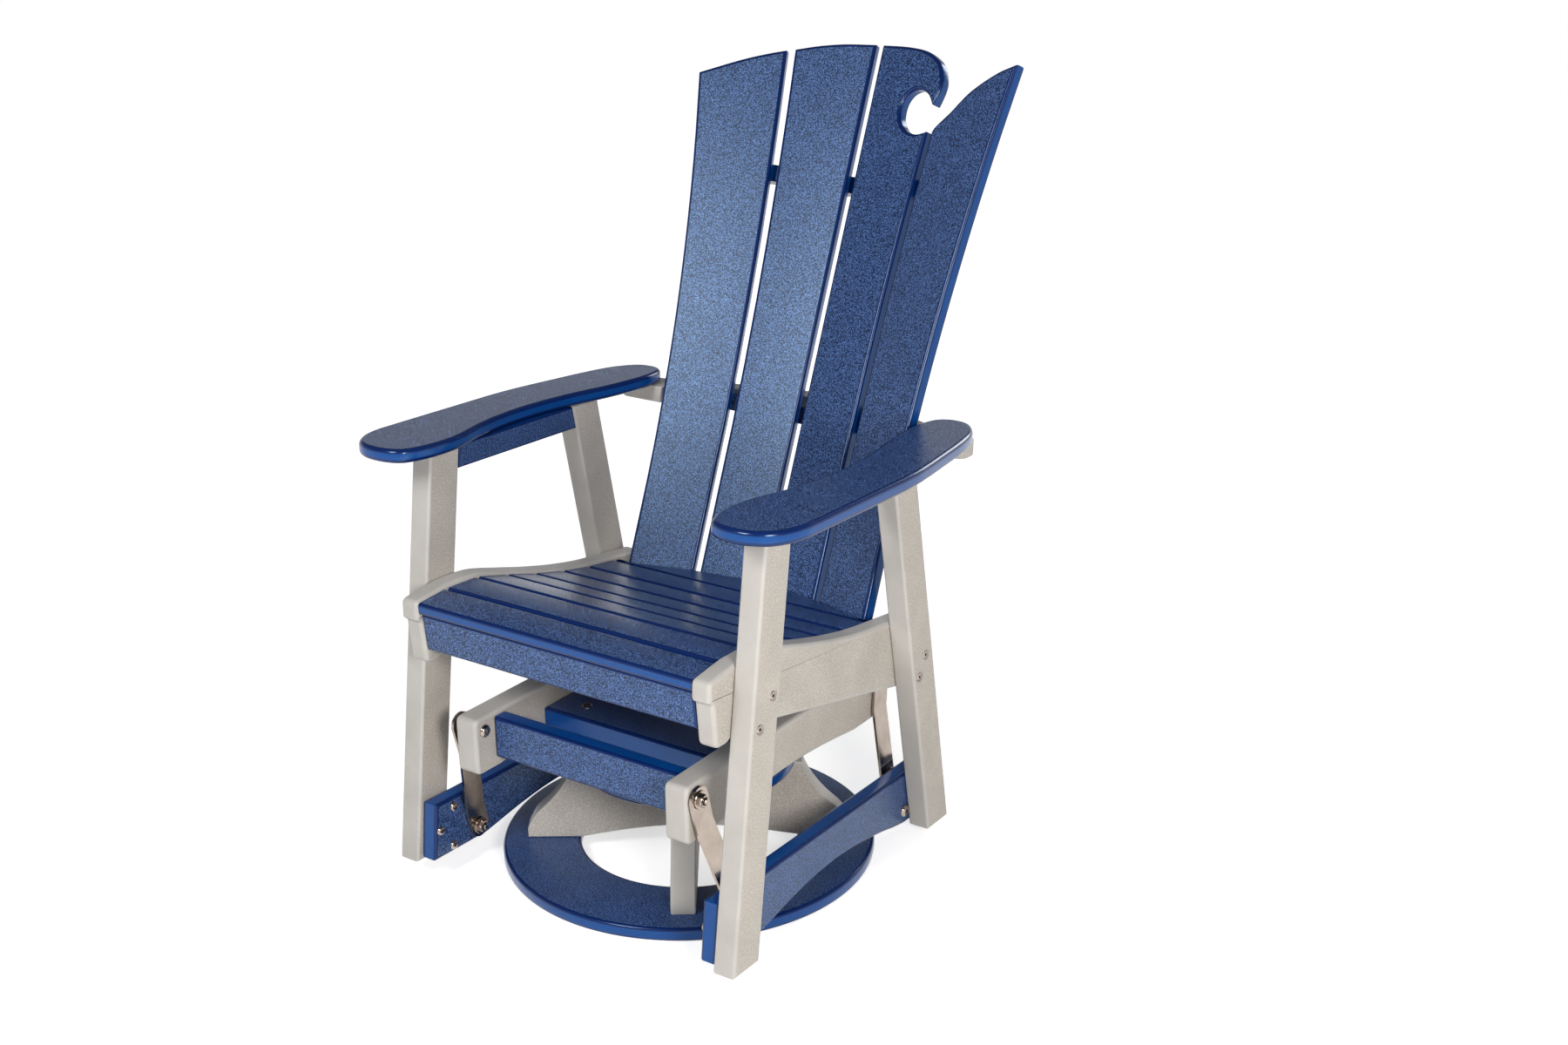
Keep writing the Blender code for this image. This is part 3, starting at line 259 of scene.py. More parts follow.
def eased_profile(outer, inner, low, high, easing):
    """Section of a flat ring or disc, with its rims rounded over."""
    bends = [(easing * math.cos(turn), easing * math.sin(turn)) for turn in ROUNDOVER_TURNS]
    rim = [(outer - easing + level, high - easing + rise) for level, rise in bends]
    under = [(outer - easing + rise, low + easing - level) for level, rise in bends]
    if not inner:
        return [(0.0, low), *under, *rim, (0.0, high)]
    hole = [(inner + easing - rise, high - easing + level) for level, rise in bends]
    hole_under = [(inner + easing - level, low + easing - rise) for level, rise in bends]
    return [*under, *rim, *hole, *hole_under]


def turned_board(node, inner, easing):
    """A round board about the swivel's axis, with a hole in its middle if inner isn't 0."""
    lowest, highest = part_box(node)
    outer = (highest[0] - lowest[0]) / 2
    profile = eased_profile(outer, inner, lowest[2], highest[2], easing)
    shell = bmesh.new()
    points = [shell.verts.new((radius, 0.0, height)) for radius, height in profile]
    edges = [shell.edges.new(pair) for pair in zip(points, points[1:])]
    if inner:
        edges.append(shell.edges.new((points[-1], points[0])))
    bmesh.ops.spin(
        shell, geom=[*points, *edges], cent=(0.0, 0.0, 0.0), axis=(0.0, 0.0, 1.0),
        angle=math.tau, steps=RIM_STEPS, use_merge=True,
    )
    bmesh.ops.remove_doubles(shell, verts=shell.verts, dist=MERGE_DISTANCE)
    bmesh.ops.recalc_face_normals(shell, faces=shell.faces)
    bmesh.ops.translate(shell, verts=shell.verts, vec=(0.0, SWIVEL_Y, 0.0))
    made = new_object(node + "_sheet", shell, NAVY)
    mark_machined(made.data, Vector((0.0, 0.0, 1.0)))
    stand_for(made, "navy_lumber", node)


turned_board("base_ring", inner=RING_HOLE_RADIUS, easing=RIM_EASING)
turned_board("base_disc", inner=0.0, easing=RIM_EASING)


# Cross of the base
# Two stone-coloured boards with hollowed ends stand edge up on the ring. They are half-lapped
# at the middle and screwed up through the ring.

STONE = lumber(
    "stone lumber", dark=(0.460, 0.430, 0.390), light=(0.650, 0.615, 0.565),
    rim=(0.540, 0.525, 0.500), edge=(0.515, 0.497, 0.470), skin_roughness=0.50,
    edge_roughness=0.42, pebble_height=0.0003, sheen=0.30,
)
LUMBER_OF = {"navy_lumber": NAVY, "stone_lumber": STONE}
CROSS_EASING = 0.0030
CORNER_SHARE = 0.3  # of the easing, on corners across a board's thickness
SHARP_TIP = math.radians(60)
TIP_REACH = 0.022  # how far from a sharp tip its easing narrows
TIP_SHARE = 0.3
BORE_REACH = 0.010  # from a bolt's axis to beyond its hole
STRAIGHT_BEND = math.radians(1)
GENTLE_BEND = math.radians(22)
MOST_UNEVEN = 2.5  # longest side of a gentle bend, by its shortest
FLAT_COSINE = 0.99
LEVEL_BEND = math.radians(0.6)
SEAM_BEND = math.radians(2)
SEAM_COSINES = (0.02, 0.98)  # a seam runs aslant: neither along nor square to the skin
EASED_BEND = math.radians(28)
CREASE_BEND = math.radians(50)


def faired(outline):
    """Adds a point on the curve between every two that lie on a gentle bend."""
    points = []
    count = len(outline)
    for i, here in enumerate(outline):
        before, there, after = outline[i - 1], outline[(i + 1) % count], outline[(i + 2) % count]
        sides = [here - before, there - here, after - there]
        turns = [sides[0].angle(sides[1]), sides[1].angle(sides[2])]
        points.append(here)
        lengths = [side.length for side in sides]
        even = max(lengths) < MOST_UNEVEN * min(lengths)
        if even and STRAIGHT_BEND < max(turns) < GENTLE_BEND:
            points.append((9 * (here + there) - before - after) / 16)
    return points


def closed_over(shell, skin_normal, bores, box):
    """The board from its outline, as thick as before: bends faired, and filled bores closed."""
    heights = [vert.co.dot(skin_normal) for vert in shell.verts]
    rim = set()
    for edge in shell.edges:
        on_top = [face.normal.dot(skin_normal) > FLAT_COSINE for face in edge.link_faces]
        middle = (edge.verts[0].co + edge.verts[1].co) / 2
        in_bore = any(math.hypot(middle.y - y, middle.z - z) < BORE_REACH for y, z in bores)
        if sum(on_top) == 1 and not in_bore:
            rim.add(edge)
    others = [edge for edge in shell.edges if edge not in rim]
    bmesh.ops.delete(shell, geom=others, context="EDGES")
    bmesh.ops.contextual_create(shell, geom=shell.edges[:])
    outline = faired(faired([vert.co.copy() for vert in shell.faces[:][0].verts]))
    shell.clear()
    inside = [Vector(min(max(p[i], box[0][i]), box[1][i]) for i in range(3)) for p in outline]
    shell.faces.new([shell.verts.new(point) for point in inside])
    raised = bmesh.ops.extrude_face_region(shell, geom=shell.faces[:], use_keep_orig=True)["geom"]
    moved = [item for item in raised if isinstance(item, bmesh.types.BMVert)]
    bmesh.ops.translate(shell, verts=moved, vec=skin_normal * (min(heights) - max(heights)))
    bmesh.ops.recalc_face_normals(shell, faces=shell.faces)


def eased_board(node, slot, easing, bores=(), cutter=None, curved=False):
    """A node's own board with the edges of its broad faces rounded over.

    Corners across its thickness get a smaller share of the easing. Towards a sharp point the
    easing narrows, as a router's does when it is lifted off. A cutter sinks holes for screws.
    Bores that a bolt fills are closed, and a curved board gets a smoother outline.
    """
    shell = bmesh.new()
    shell.from_mesh(frame["nodes"][node].data)
    bmesh.ops.remove_doubles(shell, verts=shell.verts, dist=MERGE_DISTANCE)
    bmesh.ops.dissolve_limit(
        shell, angle_limit=LEVEL_BEND, verts=shell.verts, edges=shell.edges
    )
    skin_normal = max(shell.faces, key=lambda face: face.calc_area()).normal.copy()
    least, most = SEAM_COSINES
    slants = [
        edge for edge in shell.edges if edge.calc_face_angle(0.0) < SEAM_BEND
        and least < abs((edge.verts[1].co - edge.verts[0].co).normalized().dot(skin_normal)) < most
    ]
    bmesh.ops.dissolve_edges(shell, edges=slants)
    if bores or curved:
        closed_over(shell, skin_normal, bores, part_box(node))
    tips = [
        loop.vert.co.copy() for face in shell.faces
        if abs(face.normal.dot(skin_normal)) > FLAT_COSINE
        for loop in face.loops if loop.is_convex and loop.calc_angle() < SHARP_TIP
    ]
    easings = shell.edges.layers.float.new("bevel_weight_edge")
    for edge in shell.edges:
        if len(edge.link_faces) != 2 or edge.calc_face_angle(0.0) < EASED_BEND:
            continue
        middle = (edge.verts[0].co + edge.verts[1].co) / 2
        on_skin = [abs(face.normal.dot(skin_normal)) > FLAT_COSINE for face in edge.link_faces]
        share = 1.0 if sum(on_skin) == 1 else CORNER_SHARE
        for tip in tips:
            share = min(share, max(TIP_SHARE, (middle - tip).length / TIP_REACH))
        edge[easings] = share
    made = new_object(f"{node}_board", shell, LUMBER_OF[slot])
    bevel = made.modifiers.new("eased edges", "BEVEL")
    bevel.limit_method = "WEIGHT"
    bevel.width = easing
    bevel.segments = 3
    bevel.use_clamp_overlap = False
    if cutter:
        sunk = made.modifiers.new("screw holes", "BOOLEAN")
        sunk.object = cutter
        sunk.operation = "DIFFERENCE"
    settled(made)
    made.data.set_sharp_from_angle(angle=CREASE_BEND)
    flats = made.modifiers.new("flat faces stay flat", "WEIGHTED_NORMAL")
    flats.keep_sharp = True
    settled(made)
    mark_machined(made.data, skin_normal)
    stand_for(made, slot, node)
    return made


for cross in ("base_cross_front", "base_cross_side"):
    eased_board(cross, "stone_lumber", CROSS_EASING, curved=True)


# Swivel
# Two zinc-plated steel plates joined by a short bearing: the lower one is bolted to the disc,
# the upper one to the two flat boards of the glider frame.

ZINC_DULL = (0.44, 0.45, 0.46, 1.0)
ZINC_BRIGHT = (0.60, 0.61, 0.62, 1.0)
CRYSTALS_PER_METRE = 160.0
STAIN_SIZE = 0.012


def plated_steel():
    """Grey zinc plating on steel, with a faint pattern of crystals."""
    made = bpy.data.materials.new("zinc-plated steel")
    made.use_nodes = True
    tree = made.node_tree
    shader = tree.nodes["Principled BSDF"]
    place = tree.nodes.new("ShaderNodeTexCoord").outputs["Object"]
    crystals = tree.nodes.new("ShaderNodeTexVoronoi")
    crystals.inputs["Scale"].default_value = CRYSTALS_PER_METRE
    tree.links.new(place, crystals.inputs["Vector"])
    tone = spread(tree, crystals.outputs["Color"], 0.0, 1.0)
    colour = blend_colours(tree, tone, ZINC_DULL, ZINC_BRIGHT)
    tree.links.new(colour, shader.inputs["Base Color"])
    shader.inputs["Metallic"].default_value = 1.0
    stains = noise(tree, place, STAIN_SIZE, detail=3.0)
    tree.links.new(spread(tree, stains, 0.3, 0.7, 0.30, 0.48), shader.inputs["Roughness"])
    return made


PLATED = plated_steel()
for node in ("swivel_lower_plate", "swivel_spindle", "swivel_housing", "swivel_upper_plate"):
    frame["nodes"][node].data.materials.clear()
    frame["nodes"][node].data.materials.append(PLATED)

LOWER_BOLT_PLACE = 0.075
UPPER_BOLT_PLACE = (0.125, 0.100)
FASTENER_STEPS = 24
SOFT_CREASE = math.radians(32)


def outline_reach(radius, sides, turn):
    """Distance from the axis to a round outline, or to one with this many sides."""
    if not sides:
        return radius
    part = math.tau / sides
    return radius * math.cos(part / 2) / math.cos((turn % part) - part / 2)


def ringed(name, rings):
    """A small solid of rings, each (radius, height, sides), with 0 sides for a round one."""
    shell = bmesh.new()
    loops = []
    turns = [math.tau * i / FASTENER_STEPS for i in range(FASTENER_STEPS)]
    for radius, height, sides in rings:
        reach = [outline_reach(radius, sides, turn) for turn in turns]
        loops.append([
            shell.verts.new((r * math.cos(turn), r * math.sin(turn), height))
            for r, turn in zip(reach, turns)
        ])
    for low, high in zip(loops, loops[1:]):
        for i in range(FASTENER_STEPS):
            j = (i + 1) % FASTENER_STEPS
            shell.faces.new((low[i], low[j], high[j], high[i]))
    shell.faces.new(reversed(loops[0]))
    shell.faces.new(loops[-1])
    bmesh.ops.recalc_face_normals(shell, faces=shell.faces)
    for edge in shell.edges:
        edge.smooth = edge.calc_face_angle(0.0) < SOFT_CREASE
    return new_object(name, shell, None)


def set_of_fasteners():
    """Puts one fastener at each point, aimed along the point's arrow and turned at random."""
    tree, entry, result = new_group(
        "set of fasteners", "GeometryNodeTree",
        [
            ("Points", "NodeSocketGeometry", None), ("Fastener", "NodeSocketObject", None),
            ("Finish", "NodeSocketMaterial", None), ("Seed", "NodeSocketInt", 1),
        ],
        [("Geometry", "NodeSocketGeometry")],
    )
    arrow = tree.nodes.new("GeometryNodeInputNamedAttribute")
    arrow.data_type = "FLOAT_VECTOR"
    arrow.inputs["Name"].default_value = "arrow"
    aim = tree.nodes.new("FunctionNodeAlignRotationToVector")
    aim.axis = "Z"
    tree.links.new(arrow.outputs["Attribute"], aim.inputs["Vector"])
    chance = tree.nodes.new("FunctionNodeRandomValue")
    chance.inputs[3].default_value = math.tau
    tree.links.new(entry.outputs["Seed"], chance.inputs["Seed"])
    turn = tree.nodes.new("FunctionNodeAxisAngleToRotation")
    tree.links.new(chance.outputs[1], turn.inputs["Angle"])
    both = tree.nodes.new("FunctionNodeRotateRotation")
    both.rotation_space = "LOCAL"
    tree.links.new(aim.outputs["Rotation"], both.inputs["Rotation"])
    tree.links.new(turn.outputs["Rotation"], both.inputs["Rotate By"])
    stock = tree.nodes.new("GeometryNodeObjectInfo")
    stock.inputs["As Instance"].default_value = True
    tree.links.new(entry.outputs["Fastener"], stock.inputs["Object"])
    placed = tree.nodes.new("GeometryNodeInstanceOnPoints")
    tree.links.new(entry.outputs["Points"], placed.inputs["Points"])
    tree.links.new(stock.outputs["Geometry"], placed.inputs["Instance"])
    tree.links.new(both.outputs["Rotation"], placed.inputs["Rotation"])
    real = tree.nodes.new("GeometryNodeRealizeInstances")
    tree.links.new(placed.outputs["Instances"], real.inputs["Geometry"])
    finish = tree.nodes.new("GeometryNodeSetMaterial")
    tree.links.new(real.outputs["Geometry"], finish.inputs["Geometry"])
    tree.links.new(entry.outputs["Finish"], finish.inputs["Material"])
    tree.links.new(finish.outputs["Geometry"], result.inputs["Geometry"])
    return tree


def set_inputs(modifier, values):
    """Sets a node modifier's inputs, found by their sockets' identifiers."""
    for item in modifier.node_group.interface.items_tree:
        if item.item_type == "SOCKET" and item.in_out == "INPUT" and item.name in values:
            modifier[item.identifier] = values[item.name]


def fasten(name, stock, places, finish, seed):
    """One mesh of fasteners: places holds (point, arrow) pairs in the object's frame."""
    mesh = bpy.data.meshes.new(name)
    mesh.from_pydata([tuple(point) for point, _ in places], [], [])
    arrows = mesh.attributes.new("arrow", "FLOAT_VECTOR", "POINT")
    arrows.data.foreach_set("vector", [value for _, arrow in places for value in arrow])
    made = bpy.data.objects.new(name, mesh)
    bpy.context.scene.collection.objects.link(made)
    modifier = made.modifiers.new("fasteners", "NODES")
    modifier.node_group = FASTENERS
    set_inputs(modifier, {"Fastener": stock, "Finish": finish, "Seed": seed})
    settled(made)
    return made


FASTENERS = set_of_fasteners()
hex_head = ringed("hex head", [
    (0.0100, 0.0000, 0), (0.0100, 0.0012, 0), (0.0075, 0.0012, 6), (0.0075, 0.0056, 6),
    (0.0064, 0.0062, 0),
])
UP, DOWN = (0.0, 0.0, 1.0), (0.0, 0.0, -1.0)
top_of_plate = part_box("swivel_lower_plate")[1][2]
lower_places = [
    (Vector((x, SWIVEL_Y + y, top_of_plate)), UP)
    for x in (-LOWER_BOLT_PLACE, LOWER_BOLT_PLACE) for y in (-LOWER_BOLT_PLACE, LOWER_BOLT_PLACE)
]
plate_bolts = fasten("lower_plate_bolts", hex_head, lower_places, PLATED, 1)
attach(plate_bolts, "base")
under_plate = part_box("swivel_upper_plate")[0][2]
aside, ahead = UPPER_BOLT_PLACE
upper_places = [
    (Vector((x, SWIVEL_Y + y, under_plate)), DOWN)
    for x in (-aside, aside) for y in (-ahead, ahead)
]
plate_nuts = fasten("upper_plate_bolts", hex_head, upper_places, PLATED, 2)
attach(plate_nuts, "glider_frame")


# Plate boards and front cross rail
# Two flat navy boards lie on the swivel's upper plate and a third stands on edge at the front;
# all three run between the glider rails. Round-headed bolts hold the flat ones to the plate.

BOARD_EASING = 0.0045
STEEL_DARK = (0.36, 0.305, 0.260, 1.0)
STEEL_LIGHT = (0.46, 0.39, 0.34, 1.0)
INSERT_BLACK = (0.020, 0.020, 0.024, 1.0)
SCRATCH_SIZE = 0.006
SCRATCH_STRETCH = (1.0, 14.0, 1.0)
SCRATCH_DEPTH = 0.0002
SMEAR_SIZE = 0.030


def stainless_steel():
    """Bright stainless steel, finely scratched, with dark nylon where a nut has its insert."""
    made = bpy.data.materials.new("stainless steel")
    made.use_nodes = True
    tree = made.node_tree
    shader = tree.nodes["Principled BSDF"]
    place = tree.nodes.new("ShaderNodeTexCoord").outputs["Object"]
    stretch = tree.nodes.new("ShaderNodeMapping")
    stretch.inputs["Scale"].default_value = SCRATCH_STRETCH
    tree.links.new(place, stretch.inputs["Vector"])
    scratches = noise(tree, stretch.outputs["Vector"], SCRATCH_SIZE, detail=3.0, roughness=0.6)
    smears = noise(tree, place, SMEAR_SIZE, detail=2.0)
    colour = blend_colours(tree, spread(tree, smears, 0.3, 0.7), STEEL_DARK, STEEL_LIGHT)
    insert = tree.nodes.new("ShaderNodeAttribute")
    insert.attribute_name = "insert"
    nylon = insert.outputs["Fac"]
    tree.links.new(
        blend_colours(tree, nylon, colour, INSERT_BLACK), shader.inputs["Base Color"]
    )
    tree.links.new(calculate(tree, "SUBTRACT", 1.0, nylon), shader.inputs["Metallic"])
    tree.links.new(spread(tree, scratches, 0.25, 0.75, 0.10, 0.20), shader.inputs["Roughness"])
    bump = tree.nodes.new("ShaderNodeBump")
    bump.inputs["Strength"].default_value = 0.10
    bump.inputs["Distance"].default_value = SCRATCH_DEPTH
    tree.links.new(scratches, bump.inputs["Height"])
    tree.links.new(bump.outputs["Normal"], shader.inputs["Normal"])
    return made


STAINLESS = stainless_steel()
for node in ("front_plate_board", "rear_plate_board", "front_cross_rail"):
    eased_board(node, "navy_lumber", BOARD_EASING)

round_head = ringed("round head", [
    (0.0095, 0.0000, 0), (0.0093, 0.0012, 0), (0.0080, 0.0026, 0), (0.0056, 0.0038, 0),
    (0.0026, 0.0044, 0),
])
board_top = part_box("front_plate_board")[1][2]
head_places = [(Vector((point.x, point.y, board_top)), UP) for point, _ in upper_places]
board_bolts = fasten("plate_board_bolts", round_head, head_places, STAINLESS, 3)
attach(board_bolts, "glider_frame")


# Glider rails
# The two stone side rails of the glider frame, arched a little underneath and well rounded at
# their ends. The links hang on bolts through them.

RAIL_EASING = 0.0060
PIVOTS = {joint["name"]: joint["pos_m"] for joint in frame["record"]["behaviour"]["joints"]}
UPPER_BORES = [PIVOTS["glide"][1:], PIVOTS["glide_rear_right"][1:]]
for side in ("left", "right"):
    eased_board(f"glider_rail_{side}", "stone_lumber", RAIL_EASING, bores=UPPER_BORES)


# Link bolts
# Eight stainless bolts with domed socket heads, washers and lock nuts. The upper four go
# outward through the rails and links, the lower four inward through the stretchers and links.

BOLT_HEAD_HEIGHT = 0.0060
NUT_REACH = 0.0130
INSERT_HEIGHTS = (0.0092, 0.0101)
INSERT_RADII = (0.0048, 0.0067)


def through_bolt(name, length):
    """A domed socket head, a shank of this length, a washer and a lock nut on the thread."""
    rings = [
        (0.0034, -0.0028, 6), (0.0036, -0.0057, 6), (0.0058, -0.0056, 0), (0.0080, -0.0046, 0),
        (0.0097, -0.0028, 0), (0.0105, -0.0008, 0), (0.0105, 0.0000, 0), (0.0047, 0.0000, 0),
        (0.0047, length, 0), (0.0142, length, 0), (0.0142, length + 0.0014, 0),
        (0.0137, length + 0.0020, 0), (0.0104, length + 0.0020, 6), (0.0104, length + 0.0080, 6),
        (0.0090, length + 0.0089, 0), (0.0068, length + 0.0093, 0), (0.0062, length + 0.0100, 0),
        (0.0051, length + 0.0100, 0), (0.0047, length + 0.0092, 0), (0.0047, length + 0.0122, 0),
        (0.0040, length + NUT_REACH, 0),
    ]
    made = ringed(name, rings)
    insert = made.data.attributes.new("insert", "FLOAT", "FACE")
    low, high = (length + height for height in INSERT_HEIGHTS)
    inner, outer = INSERT_RADII
    insert.data.foreach_set("value", [
        float(low < face.center.z < high and inner < face.center.xy.length < outer)
        for face in made.data.polygons
    ])
    return made


def bolt_places(nodes, outward):
    """Where each bolt's head sits and which way it points, and the bolts' length."""
    places = []
    for node in nodes:
        low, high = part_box(node)
        sign = 1.0 if low[0] > 0 else -1.0
        near, far = sorted((abs(low[0]), abs(high[0])))
        if outward:
            seat, direction = near + BOLT_HEAD_HEIGHT, sign
        else:
            seat, direction = far - BOLT_HEAD_HEIGHT, -sign
        length = far - near - BOLT_HEAD_HEIGHT - NUT_REACH
        middle = ((low[1] + high[1]) / 2, (low[2] + high[2]) / 2)
        places.append((Vector((sign * seat, *middle)), (direction, 0.0, 0.0)))
    return places, length


for level, outward, body in (("upper", True, "glider_frame"), ("lower", False, "chair")):
    nodes = [
        f"{level}_bolt_{end}_{side}" for end in ("front", "rear") for side in ("left", "right")
    ]
    places, length = bolt_places(nodes, outward)
    stock = through_bolt(f"{level} bolt", length)
    bolts = fasten(f"{level}_link_bolts", stock, places, STAINLESS, 4)
    stand_for(bolts, "stainless_steel", *nodes)
    bpy.data.objects.remove(stock)


# Spacers
# Black nylon rings between the rails and the links keep the steel off the lumber. They are
# moulded, and held in place by the upper link bolts that run through them.

NYLON_DARK = (0.014, 0.014, 0.016, 1.0)
NYLON_LIGHT = (0.032, 0.032, 0.036, 1.0)
NYLON_GRAIN = 0.0012


def moulded_nylon():
    """Dull black nylon with a fine moulded grain."""
    made = bpy.data.materials.new("black nylon")
    made.use_nodes = True
    tree = made.node_tree
    shader = tree.nodes["Principled BSDF"]
    place = tree.nodes.new("ShaderNodeTexCoord").outputs["Object"]
    grain = noise(tree, place, NYLON_GRAIN, detail=2.0)
    tree.links.new(blend_colours(tree, grain, NYLON_DARK, NYLON_LIGHT), shader.inputs["Base Color"])
    tree.links.new(spread(tree, grain, 0.3, 0.7, 0.40, 0.56), shader.inputs["Roughness"])
    return made


NYLON = moulded_nylon()
for end in ("front", "rear"):
    for side in ("left", "right"):
        spacer = frame["nodes"][f"link_spacer_{end}_{side}"]
        spacer.data.materials.clear()
        spacer.data.materials.append(NYLON)


# Links
# Four flat stainless links with round ends, each bent sideways twice to clear the stretcher.
# Their edges are tumbled smooth.

LINK_EASING = 0.0009
LINK_BEND_RADIUS = 0.0035
LINK_BEND = math.radians(24)
LINK_SEAM_BEND = math.radians(0.15)
LINK_EDGE_BEND = math.radians(50)


def tumbled_link(node):
    """A node's own link with its edges tumbled and its two bends rounded."""
    shell = bmesh.new()
    shell.from_mesh(frame["nodes"][node].data)
    bmesh.ops.remove_doubles(shell, verts=shell.verts, dist=MERGE_DISTANCE)
    bmesh.ops.dissolve_limit(
        shell, angle_limit=LINK_SEAM_BEND, verts=shell.verts, edges=shell.edges
    )
    easings = shell.edges.layers.float.new("bevel_weight_edge")
    for edge in shell.edges:
        edge[easings] = 1.0 if edge.calc_face_angle(0.0) > LINK_EDGE_BEND else 0.0
    made = new_object(node + "_strap", shell, STAINLESS)
    bevel = made.modifiers.new("tumbled edges", "BEVEL")
    bevel.limit_method = "WEIGHT"
    bevel.width = LINK_EASING
    bevel.segments = 2
    bends = made.modifiers.new("bends", "BEVEL")
    bends.limit_method = "ANGLE"
    bends.angle_limit = LINK_BEND
    bends.width = LINK_BEND_RADIUS
    bends.segments = 3
    bends.use_clamp_overlap = True
    flats = made.modifiers.new("flat faces stay flat", "WEIGHTED_NORMAL")
    flats.keep_sharp = True
    settled(made)
    stand_for(made, "stainless_steel", node)


for end in ("front", "rear"):
    for side in ("left", "right"):
        tumbled_link(f"link_{end}_{side}")


# Legs
# Four stone legs, cut to lean, with a pair of pan-head screws through each into the seat rail.
# Their tops carry the arms, and the stretchers join their feet.

LEG_EASING = 0.0045
REST_TILT = math.radians(-1.5782)
LEVEL_PIVOT = Vector((0.0, -0.2251, 0.0609))
CHAIR_PLACE = (
    Matrix.Translation((0.0, *PIVOTS["chair_hang"][1:]))
    @ Matrix.Rotation(REST_TILT, 4, "X")
    @ Matrix.Translation(-LEVEL_PIVOT)
)
LEG_OUTER_X = 0.3261
LEG_SCREWS = ((-0.2400, 0.4390), (-0.2720, 0.3990), (0.1935, 0.3540), (0.1760, 0.3220))
SCREW_HOLE_DEPTH = 0.0042
SCREW_HOLE_RADIUS = 0.0088
pan_head = ringed("pan head", [
    (0.0076, 0.0000, 0), (0.0074, 0.0012, 0), (0.0064, 0.0026, 0), (0.0048, 0.0034, 0),
    (0.0032, 0.0036, 4), (0.0029, 0.0006, 4),
])
screw_hole = ringed("screw hole", [
    (SCREW_HOLE_RADIUS, -SCREW_HOLE_DEPTH, 0), (SCREW_HOLE_RADIUS, SCREW_HOLE_DEPTH, 0),
])


def level_places(points, x, out):
    """Screws on both sides of the chair, given in its own level frame."""
    return [
        (CHAIR_PLACE @ Vector((sign * x, y, z)), (sign * out, 0.0, 0.0))
        for sign in (-1.0, 1.0) for y, z in points
    ]


def chair_screws(name, places, seed):
    """A set of pan-head screws that moves with the chair."""
    made = fasten(name, pan_head, places, STAINLESS, seed)
    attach(made, "chair")


hole_places = level_places(LEG_SCREWS, LEG_OUTER_X, 1.0)
screw_holes = fasten("screw_holes", screw_hole, hole_places, STONE, 5)
for end in ("front", "rear"):
    for side in ("left", "right"):
        eased_board(f"leg_{end}_{side}", "stone_lumber", LEG_EASING, cutter=screw_holes)
bpy.data.objects.remove(screw_holes)
chair_screws("leg_screws", level_places(LEG_SCREWS, LEG_OUTER_X - SCREW_HOLE_DEPTH, 1.0), 5)


# Stretchers
# Two low navy boards inside the legs, arched underneath, which the links carry. Three screws
# at each end hold a stretcher to its leg.

STRETCHER_EASING = 0.0050
STRETCHER_INNER_X = 0.2587
STRETCHER_SCREWS = (
    (-0.2785, 0.1145), (-0.3104, 0.0849), (-0.2830, 0.0480),
    (0.2300, 0.1145), (0.2560, 0.0849), (0.2400, 0.0480),
)
LOWER_BORES = [PIVOTS["chair_hang"][1:]]
low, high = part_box("lower_bolt_rear_right")
LOWER_BORES.append([(low[1] + high[1]) / 2, (low[2] + high[2]) / 2])
for side in ("left", "right"):
    eased_board(f"stretcher_{side}", "navy_lumber", STRETCHER_EASING, bores=LOWER_BORES)
chair_screws("stretcher_screws", level_places(STRETCHER_SCREWS, STRETCHER_INNER_X, -1.0), 6)


# Seat rails
# The stone side boards of the seat, sawn to the seat's curve, with a rounded nose and a lobe
# at the front. A generous roundover runs along their whole outline.

SEAT_RAIL_EASING = 0.0065
for side in ("left", "right"):
    eased_board(f"seat_rail_{side}", "stone_lumber", SEAT_RAIL_EASING)


# Seat slats and apron
# Seven equal navy slats follow the seat's curve between the rails, an eighth has its rear edge
# cut to the hollow of the back, and the apron stands under the front one.

SLAT_THICKNESS = 0.0190
SLAT_GAP = 0.0048
SLAT_EASING = 0.0050
NOMINAL_SLAT_WIDTH = 0.0630
SEAT_FRONT_Y, SEAT_DEPTH = -0.3385, 0.5505
SEAT_CREST, SEAT_DIP = 0.4845, 0.0795
SEAT_LINE_SHARES = (
    (0.000, 0.080), (0.119, 0.000), (0.244, 0.020), (0.367, 0.230), (0.487, 0.455),
    (0.612, 0.658), (0.730, 0.805), (0.857, 0.908),
)
BROAD_AREA_SHARE = 0.8  # of a slat's largest face: its skin is above this
EDGE_AREA_SHARE = 0.1  # and its sawn edges are above this


